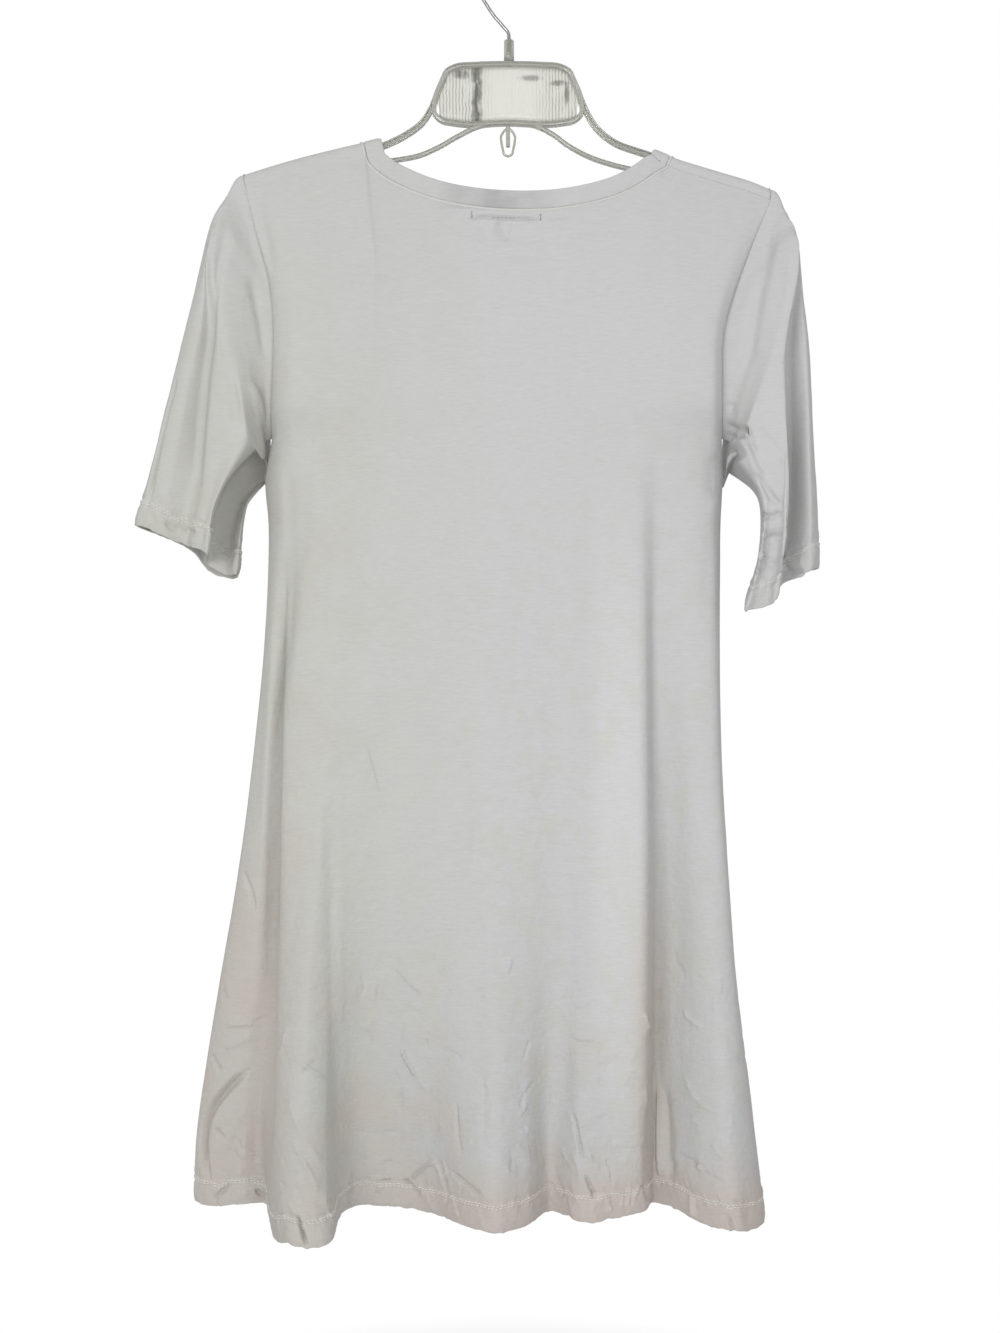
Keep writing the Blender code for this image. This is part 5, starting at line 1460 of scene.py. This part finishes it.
def speckle(tree, place, size, detail=2.0, roughness=0.5):
    # noise whose grains have that size along each axis, in metres
    scaled = addNode(tree, "VectorMath", {0: place, 1: [1 / s for s in size]}, operation="MULTIPLY")
    grain = addNode(
        tree,
        "TexNoise",
        {"Vector": scaled.outputs[0], "Scale": 1.0, "Detail": detail, "Roughness": roughness},
    )
    return grain.outputs["Fac"]


def remap(tree, value, low, high, toLow, toHigh):
    node = addNode(
        tree,
        "MapRange",
        {"Value": value, "From Min": low, "From Max": high, "To Min": toLow, "To Max": toHigh},
    )
    return node.outputs["Result"]


def combined(tree, a, b, operation="ADD"):
    return addNode(tree, "Math", {0: a, 1: b}, operation=operation).outputs[0]


def product(tree, *values):
    made = values[0]
    for value in values[1:]:
        made = combined(tree, made, value, "MULTIPLY")
    return made


def distance(tree, value, centre):
    # how far a value is from the centre, on either side
    away = combined(tree, value, -centre)
    return addNode(tree, "Math", {0: away}, operation="ABSOLUTE").outputs[0]


def bumped(tree, shader, height, strength, depth):
    bump = addNode(tree, "Bump", {"Height": height, "Strength": strength, "Distance": depth})
    tree.links.new(bump.outputs["Normal"], shader.inputs["Normal"])


def placeOn(tree):
    # where a spot lies on the object, in metres
    return addNode(tree, "TexCoord").outputs["Object"]


def alongAxes(tree, place):
    parts = addNode(tree, "SeparateXYZ", {0: place})
    return parts.outputs["X"], parts.outputs["Z"]


def mixed(tree, share, a, b, blend="MIX"):
    node = addNode(tree, "Mix", {0: share, 6: a, 7: b}, data_type="RGBA", blend_type=blend)
    return node.outputs[2]


jerseyLook = {
    "grey": (0.60, 0.605, 0.60, 1.0),
    "yellow": (0.560, 0.552, 0.506, 1.0),  # down its left side
    "green": (0.585, 0.592, 0.54, 1.0),
    "pink": (0.60, 0.542, 0.50, 1.0),  # towards the hem, and as painted shade in the right fold's valley
    # patches: colour, what they follow, range of that, share at its two ends, where they fade in
    "patches": (
        ("yellow", "blotch", (0.38, 0.62), (0.55, 1.0), (("x", -0.01, -0.17), ("z", -0.02, -0.45))),
        ("green", "mottle", (0.50, 0.66), (0.0, 0.7), (("z", -0.30, -0.62),)),
        ("pink", "z", (-0.952, -0.985), (0.0, 1.0), (("x", -0.26, -0.02),)),
        ("pink", "blotch", (0.46, 0.66), (0.0, 0.8), (("z", -0.78, -0.98),)),
        # painted shade: the right fold's valley is pinker and darker
        ("pink", "fromValley", (0.006, 0.022), (0.8, 0.0), (("z", -0.70, -0.84),)),
        ("pink", "blotch", (0.38, 0.60), (0.45, 0.8), (("x", -0.155, -0.180), ("z", -0.60, -0.86))),
    ),
    "valley": 0.112,  # place of the right valley
    # noises: size of the grain along each axis, detail, roughness
    "slub": ((0.012, 0.012, 0.0012), 2.5, 0.6),
    "streak": ((0.006, 0.006, 0.0009), 2.0, 0.55),
    "grain": ((0.0010, 0.0010, 0.0008), 1.5, 0.5),
    "blotch": ((0.045, 0.045, 0.05), 3.0, 0.6),
    "mottle": ((0.018, 0.018, 0.022), 3.0, 0.6),
    "crumple": ((0.010, 0.010, 0.014), 2.0, 0.45),
    "crumpling": (-0.45, -0.80, 1.5, 5.0),  # how deep the crumples are at these two heights
    "yarn": 0.12,  # how much the thick and thin yarns vary in tone
    "shadeTowardsHem": (-0.70, -0.97, 1.0, 0.93),  # painted shade, darker towards the hem: the tone at these two heights
    "bandShade": 0.22,  # painted shade: how much darker the neck band is painted just above the label
    "crestHighlight": 0.08,  # painted highlight: how much paler the crest of the right fold is painted
    "bump": (0.45, 0.0006),  # strength, depth
}


def faded(tree, share, *ramps):
    # a share that fades in along each ramp: value, where it is none, where it is whole
    return product(tree, share, *(remap(tree, value, none, whole, 0.0, 1.0) for value, none, whole in ramps))


def makeJersey():
    look = jerseyLook
    finish, tree, shader = newFinish(
        "paleGreyJersey",
        {"Roughness": 0.88, "Sheen Weight": 0.12, "Sheen Roughness": 0.45, "Specular IOR Level": 0.25},
    )
    place = placeOn(tree)
    x, z = alongAxes(tree, place)
    noises = ("slub", "streak", "grain", "blotch", "mottle", "crumple")
    slub, streak, grain, blotch, mottle, crumple = (speckle(tree, place, *look[key]) for key in noises)

    # the cloth is yellower down its left side, pinker at the hem and greenish in patches, and the right
    # fold's valley has painted shade, pinker and darker
    fromValley = distance(tree, x, look["valley"])
    values = {"x": x, "z": z, "blotch": blotch, "mottle": mottle, "fromValley": fromValley}
    shares = {}
    for name, follows, span, ends, fades in look["patches"]:
        share = remap(tree, values[follows], *span, *ends)
        share = faded(tree, share, *((values[axis], none, whole) for axis, none, whole in fades))
        shares[name] = combined(tree, shares[name], share, "MAXIMUM") if name in shares else share
    colour = look["grey"]
    for name, share in shares.items():
        colour = mixed(tree, share, colour, look[name])

    # its tone: yarns, painted shade darker towards the hem and on the neck band above the label, and a
    # painted highlight along the crest of the right fold
    yarn = combined(tree, combined(tree, slub, streak), 1.0, "SUBTRACT")
    tone = combined(tree, product(tree, yarn, look["yarn"]), 1.0)
    # painted shade on the neck band just above the label
    bandShade = faded(
        tree,
        remap(tree, blotch, 0.40, 0.58, 0.4 * look["bandShade"], look["bandShade"]),
        (z, -0.2065, -0.2045),
        (distance(tree, x, -0.008), 0.050, 0.030),
    )
    # painted highlight along the crest of the right fold
    crestHighlight = faded(tree, remap(tree, x, 0.060, 0.074, 0.0, look["crestHighlight"]), (x, 0.110, 0.101), (z, -0.42, -0.60))
    # painted shade, darker towards the hem and on the neck band above the label
    fade = combined(tree, remap(tree, z, *look["shadeTowardsHem"]), bandShade, "SUBTRACT")
    tone = product(tree, tone, combined(tree, fade, crestHighlight))
    shade = addNode(tree, "CombineXYZ", {0: tone, 1: tone, 2: tone}).outputs[0]
    tree.links.new(mixed(tree, 1.0, colour, shade, "MULTIPLY"), shader.inputs["Base Color"])

    # its relief: yarns, the knit's grain, and fine crumples, more of them lower down
    height = product(tree, combined(tree, slub, streak), 0.5)
    height = combined(tree, height, product(tree, grain, 0.4))
    crumples = product(tree, distance(tree, crumple, 0.5), remap(tree, z, *look["crumpling"]))
    bumped(tree, shader, combined(tree, height, crumples, "SUBTRACT"), *look["bump"])
    return finish


def makeThread(name, dark, light):
    # spun yarn, darker and lighter along its twist
    finish, tree, shader = newFinish(name, {"Roughness": 0.6, "Sheen Weight": 0.2})
    place = placeOn(tree)
    twist = speckle(tree, place, (0.0008, 0.0008, 0.0004), 1.0)
    colour = mixed(tree, remap(tree, twist, 0.3, 0.7, 0.0, 1.0), dark, light)
    tree.links.new(colour, shader.inputs["Base Color"])
    return finish


def makeClearPlastic(name, haze, tint):
    # moulded plastic with faint flow marks
    finish, tree, shader = newFinish(
        name, {"Base Color": tint, "Transmission Weight": 0.75, "IOR": 1.49, "Roughness": haze}
    )
    place = placeOn(tree)
    flow = speckle(tree, place, (0.012, 0.012, 0.004), 3.0, 0.6)
    cloud = remap(tree, flow, 0.35, 0.7, haze * 0.6, haze * 1.8 + 0.02)
    tree.links.new(cloud, shader.inputs["Roughness"])
    bumped(tree, shader, flow, 0.08, 0.0010)
    return finish


windowLook = {
    "cream": (0.96, 0.955, 0.90, 1.0),
    # painted shade along the ribs
    "ribs": (0.50, 0.50, 0.43, 1.0),
    # colour of the painted shadows
    "paintedShadow": (0.16, 0.16, 0.135, 1.0),
    "ribPitch": 0.0026,
    "drift": 5.0,  # how far the ribs' shade wanders
    "bare": (0.004, 0.014, 0.032),  # the ribs' painted shade is left out of its middle: centre, none up to here, whole from there
    "clear": 0.14,  # how much of it is seen straight through
    # painted shadows of what lies behind: place x z, half width, half height, in metres, and how dark
    "shadows": (
        (-0.0252, -0.112, 0.0046, 0.040, 0.95),
        (-0.0375, -0.0935, 0.0068, 0.0042, 0.8),
        (0.019, -0.0965, 0.010, 0.0028, 0.6),
        (0.0475, -0.109, 0.0024, 0.009, 0.75),
        (0.041, -0.1005, 0.008, 0.0026, 0.7),
    ),
}


def makeRibbedPlastic():
    # clear plastic with frosted ribs, with painted shade along the ribs and painted soft shadows of what lies
    # behind
    look = windowLook
    finish, tree, shader = newFinish(
        "ribbedPlastic",
        {"IOR": 1.49, "Roughness": 0.3, "Alpha": 1 - look["clear"], "Transmission Weight": 0.25},
    )
    place = placeOn(tree)
    x, z = alongAxes(tree, place)
    uneven = speckle(tree, place, (0.004, 0.004, 0.016), 3.0, 0.6)
    drift = speckle(tree, place, (0.012, 0.012, 0.007), 2.0, 0.5)
    ribTurn, wander = 2 * math.pi / look["ribPitch"], product(tree, drift, look["drift"])
    turn = combined(tree, product(tree, x, ribTurn), wander)
    wave = addNode(tree, "Math", {0: turn}, operation="SINE").outputs[0]
    centre, none, whole = look["bare"]
    away = distance(tree, x, centre)
    # painted shade along the ribs, none in the middle
    ribs = faded(tree, remap(tree, wave, -0.2, 1.0, 0.0, 0.9), (away, none, whole), (uneven, 0.30, 0.5))
    colour = mixed(tree, ribs, look["cream"], look["ribs"])
    # painted shadows of what lies behind the window
    for shadowX, shadowZ, wide, tall, dark in look["shadows"]:
        bend = product(tree, combined(tree, drift, -0.5), wide * 1.5)
        across = product(tree, combined(tree, combined(tree, x, -shadowX), bend), 1 / wide)
        down = product(tree, combined(tree, z, -shadowZ), 1 / tall)
        square = combined(tree, product(tree, across, across), product(tree, down, down))
        share = faded(tree, remap(tree, square, 0.15, 1.3, dark, 0.0), (uneven, 0.25, 0.5))
        colour = mixed(tree, share, colour, look["paintedShadow"])
    tree.links.new(colour, shader.inputs["Base Color"])
    bumped(tree, shader, combined(tree, drift, product(tree, uneven, 0.4)), 0.3, 0.0010)
    return finish


def makeSteel():
    # bright wire with the fine lines of drawing along it
    finish, tree, shader = newFinish("drawnSteelWire", {"Metallic": 1.0, "Roughness": 0.26})
    place = placeOn(tree)
    drawn = speckle(tree, place, (0.0005, 0.0005, 0.006), 2.0)
    dark, light = (0.36, 0.355, 0.35, 1.0), (0.62, 0.61, 0.60, 1.0)
    colour = mixed(tree, remap(tree, drawn, 0.35, 0.7, 0.0, 1.0), dark, light)
    tree.links.new(colour, shader.inputs["Base Color"])
    tree.links.new(remap(tree, drawn, 0.3, 0.7, 0.18, 0.36), shader.inputs["Roughness"])
    return finish


finishes = {
    "jersey": makeJersey(),
    "welt": makeThread("weltJersey", (0.60, 0.60, 0.585, 1), (0.69, 0.685, 0.665, 1)),
    "thread": makeThread("paleGreyThread", (0.70, 0.70, 0.68, 1), (0.84, 0.83, 0.80, 1)),
    # dark thread for the label's marks, partly painted shade of its groove
    "darkThreadAndShade": makeThread("darkGreyThreadAndShade", (0.16, 0.16, 0.16, 1), (0.34, 0.34, 0.33, 1)),
    "clear": makeClearPlastic("clearPlastic", 0.08, (0.70, 0.70, 0.64, 1.0)),
    "ribbed": makeRibbedPlastic(),
    "steel": makeSteel(),
}
print("finishes made")

panels = {
    -1: makePanel(-1, "back", "back_panel", finishes["jersey"], 3),
    1: makePanel(1, "front", "front_panel", finishes["jersey"], 47),
}
print("panels made")
leftSleeve = makeSleeve(panels, -1, "leftSleeve", "sleeve_left", finishes["jersey"], 71)
rightSleeve = makeSleeve(panels, 1, "rightSleeve", "sleeve_right", finishes["jersey"], 89)
print("sleeves made")
band, neckRound = makeBand(panels, finishes["jersey"], finishes["welt"])
makeSeams(panels, finishes["jersey"])
makeStitches(panels, (leftSleeve, rightSleeve), finishes["thread"])
makeLabelMarks(panels[-1], finishes["darkThreadAndShade"])
print("neck, seams and stitches made")
makeHangerFrame(finishes["clear"])
makeWindow(finishes["ribbed"])
makeClip(finishes["clear"])
makeHook(finishes["steel"], finishes["clear"])
print("hanger made")


studio = {
    "floor": -1.34,
    "floorSize": 60.0,
    "key": ((-0.75, -1.75, -0.3), 0.9, 12.0),  # place, size, watts
    "fill": ((0.55, -1.75, -0.5), 1.0, 6.5),
    "sky": 0.57,  # brightness of the room on the cloth
    "floorGlow": 0.42,  # the same for the floor around it
    "floorFade": (0.3, 0.6),  # how far out the floor turns into plain white light
    "eye": (-0.0065, -1.300, -0.5727),
    "lens": 1605 / 1333 * 36,  # focal length, with a sensor 36 mm high
}


def makeFloor():
    # white further out, so that no edge of it shows
    size, z = studio["floorSize"] / 2, studio["floor"]
    corners = [(-size, -size, z), (size, -size, z), (size, size, z), (-size, size, z)]
    mesh = bpy.data.meshes.new("floor")
    mesh.from_pydata(corners, [], [(0, 1, 2, 3)])
    floor = bpy.data.objects.new("floor", mesh)
    bpy.context.scene.collection.objects.link(floor)
    finish, tree, shader = newFinish("paleFloor", {"Base Color": (0.93, 0.93, 0.93, 1.0), "Roughness": 0.9})
    place = placeOn(tree)
    flat = addNode(tree, "VectorMath", {0: place, 1: (1.0, 1.0, 0.0)}, operation="MULTIPLY").outputs[0]
    far = addNode(tree, "VectorMath", {0: flat}, operation="LENGTH").outputs["Value"]
    seen = addNode(tree, "LightPath").outputs["Is Camera Ray"]
    strength = remap(tree, seen, 0.0, 1.0, studio["floorGlow"], 1.0)
    glow = addNode(tree, "Emission", {"Color": (1, 1, 1, 1), "Strength": strength})
    share = remap(tree, far, *studio["floorFade"], 0.0, 1.0)
    blend = addNode(tree, "MixShader", {0: share, 1: shader.outputs[0], 2: glow.outputs[0]})
    tree.links.new(blend.outputs[0], tree.nodes["Material Output"].inputs["Surface"])
    mesh.materials.append(finish)


def makeLight(name, place, size, watts, aim):
    lamp = bpy.data.lights.new(name, "AREA")
    lamp.shape = "DISK"
    lamp.size = size
    lamp.energy = watts
    light = bpy.data.objects.new(name, lamp)
    light.location = place
    light.rotation_euler = (Vector(aim) - Vector(place)).to_track_quat("-Z", "Y").to_euler()
    bpy.context.scene.collection.objects.link(light)


def makeSky():
    # white to the eye, dimmer as a light on the cloth
    world = bpy.data.worlds.new("studio")
    world.use_nodes = True
    bpy.context.scene.world = world
    tree = world.node_tree
    seen = addNode(tree, "LightPath").outputs["Is Camera Ray"]
    strength = remap(tree, seen, 0.0, 1.0, studio["sky"], 1.0)
    tree.nodes["Background"].inputs["Color"].default_value = (1.0, 1.0, 1.0, 1.0)
    tree.links.new(strength, tree.nodes["Background"].inputs["Strength"])


makeFloor()
makeLight("key", *studio["key"], (0.0, 0.0, -0.55))
makeLight("fill", *studio["fill"], (0.0, 0.0, -0.6))
makeSky()

eye = bpy.data.cameras.new("eye")
eye.sensor_fit = "VERTICAL"
eye.sensor_height = 36.0
eye.lens = studio["lens"]
viewer = bpy.data.objects.new("eye", eye)
viewer.location = studio["eye"]
viewer.rotation_euler = (math.pi / 2, 0.0, 0.0)
bpy.context.scene.collection.objects.link(viewer)
bpy.context.scene.camera = viewer
bpy.context.scene.view_settings.view_transform = "Standard"
print("studio made")
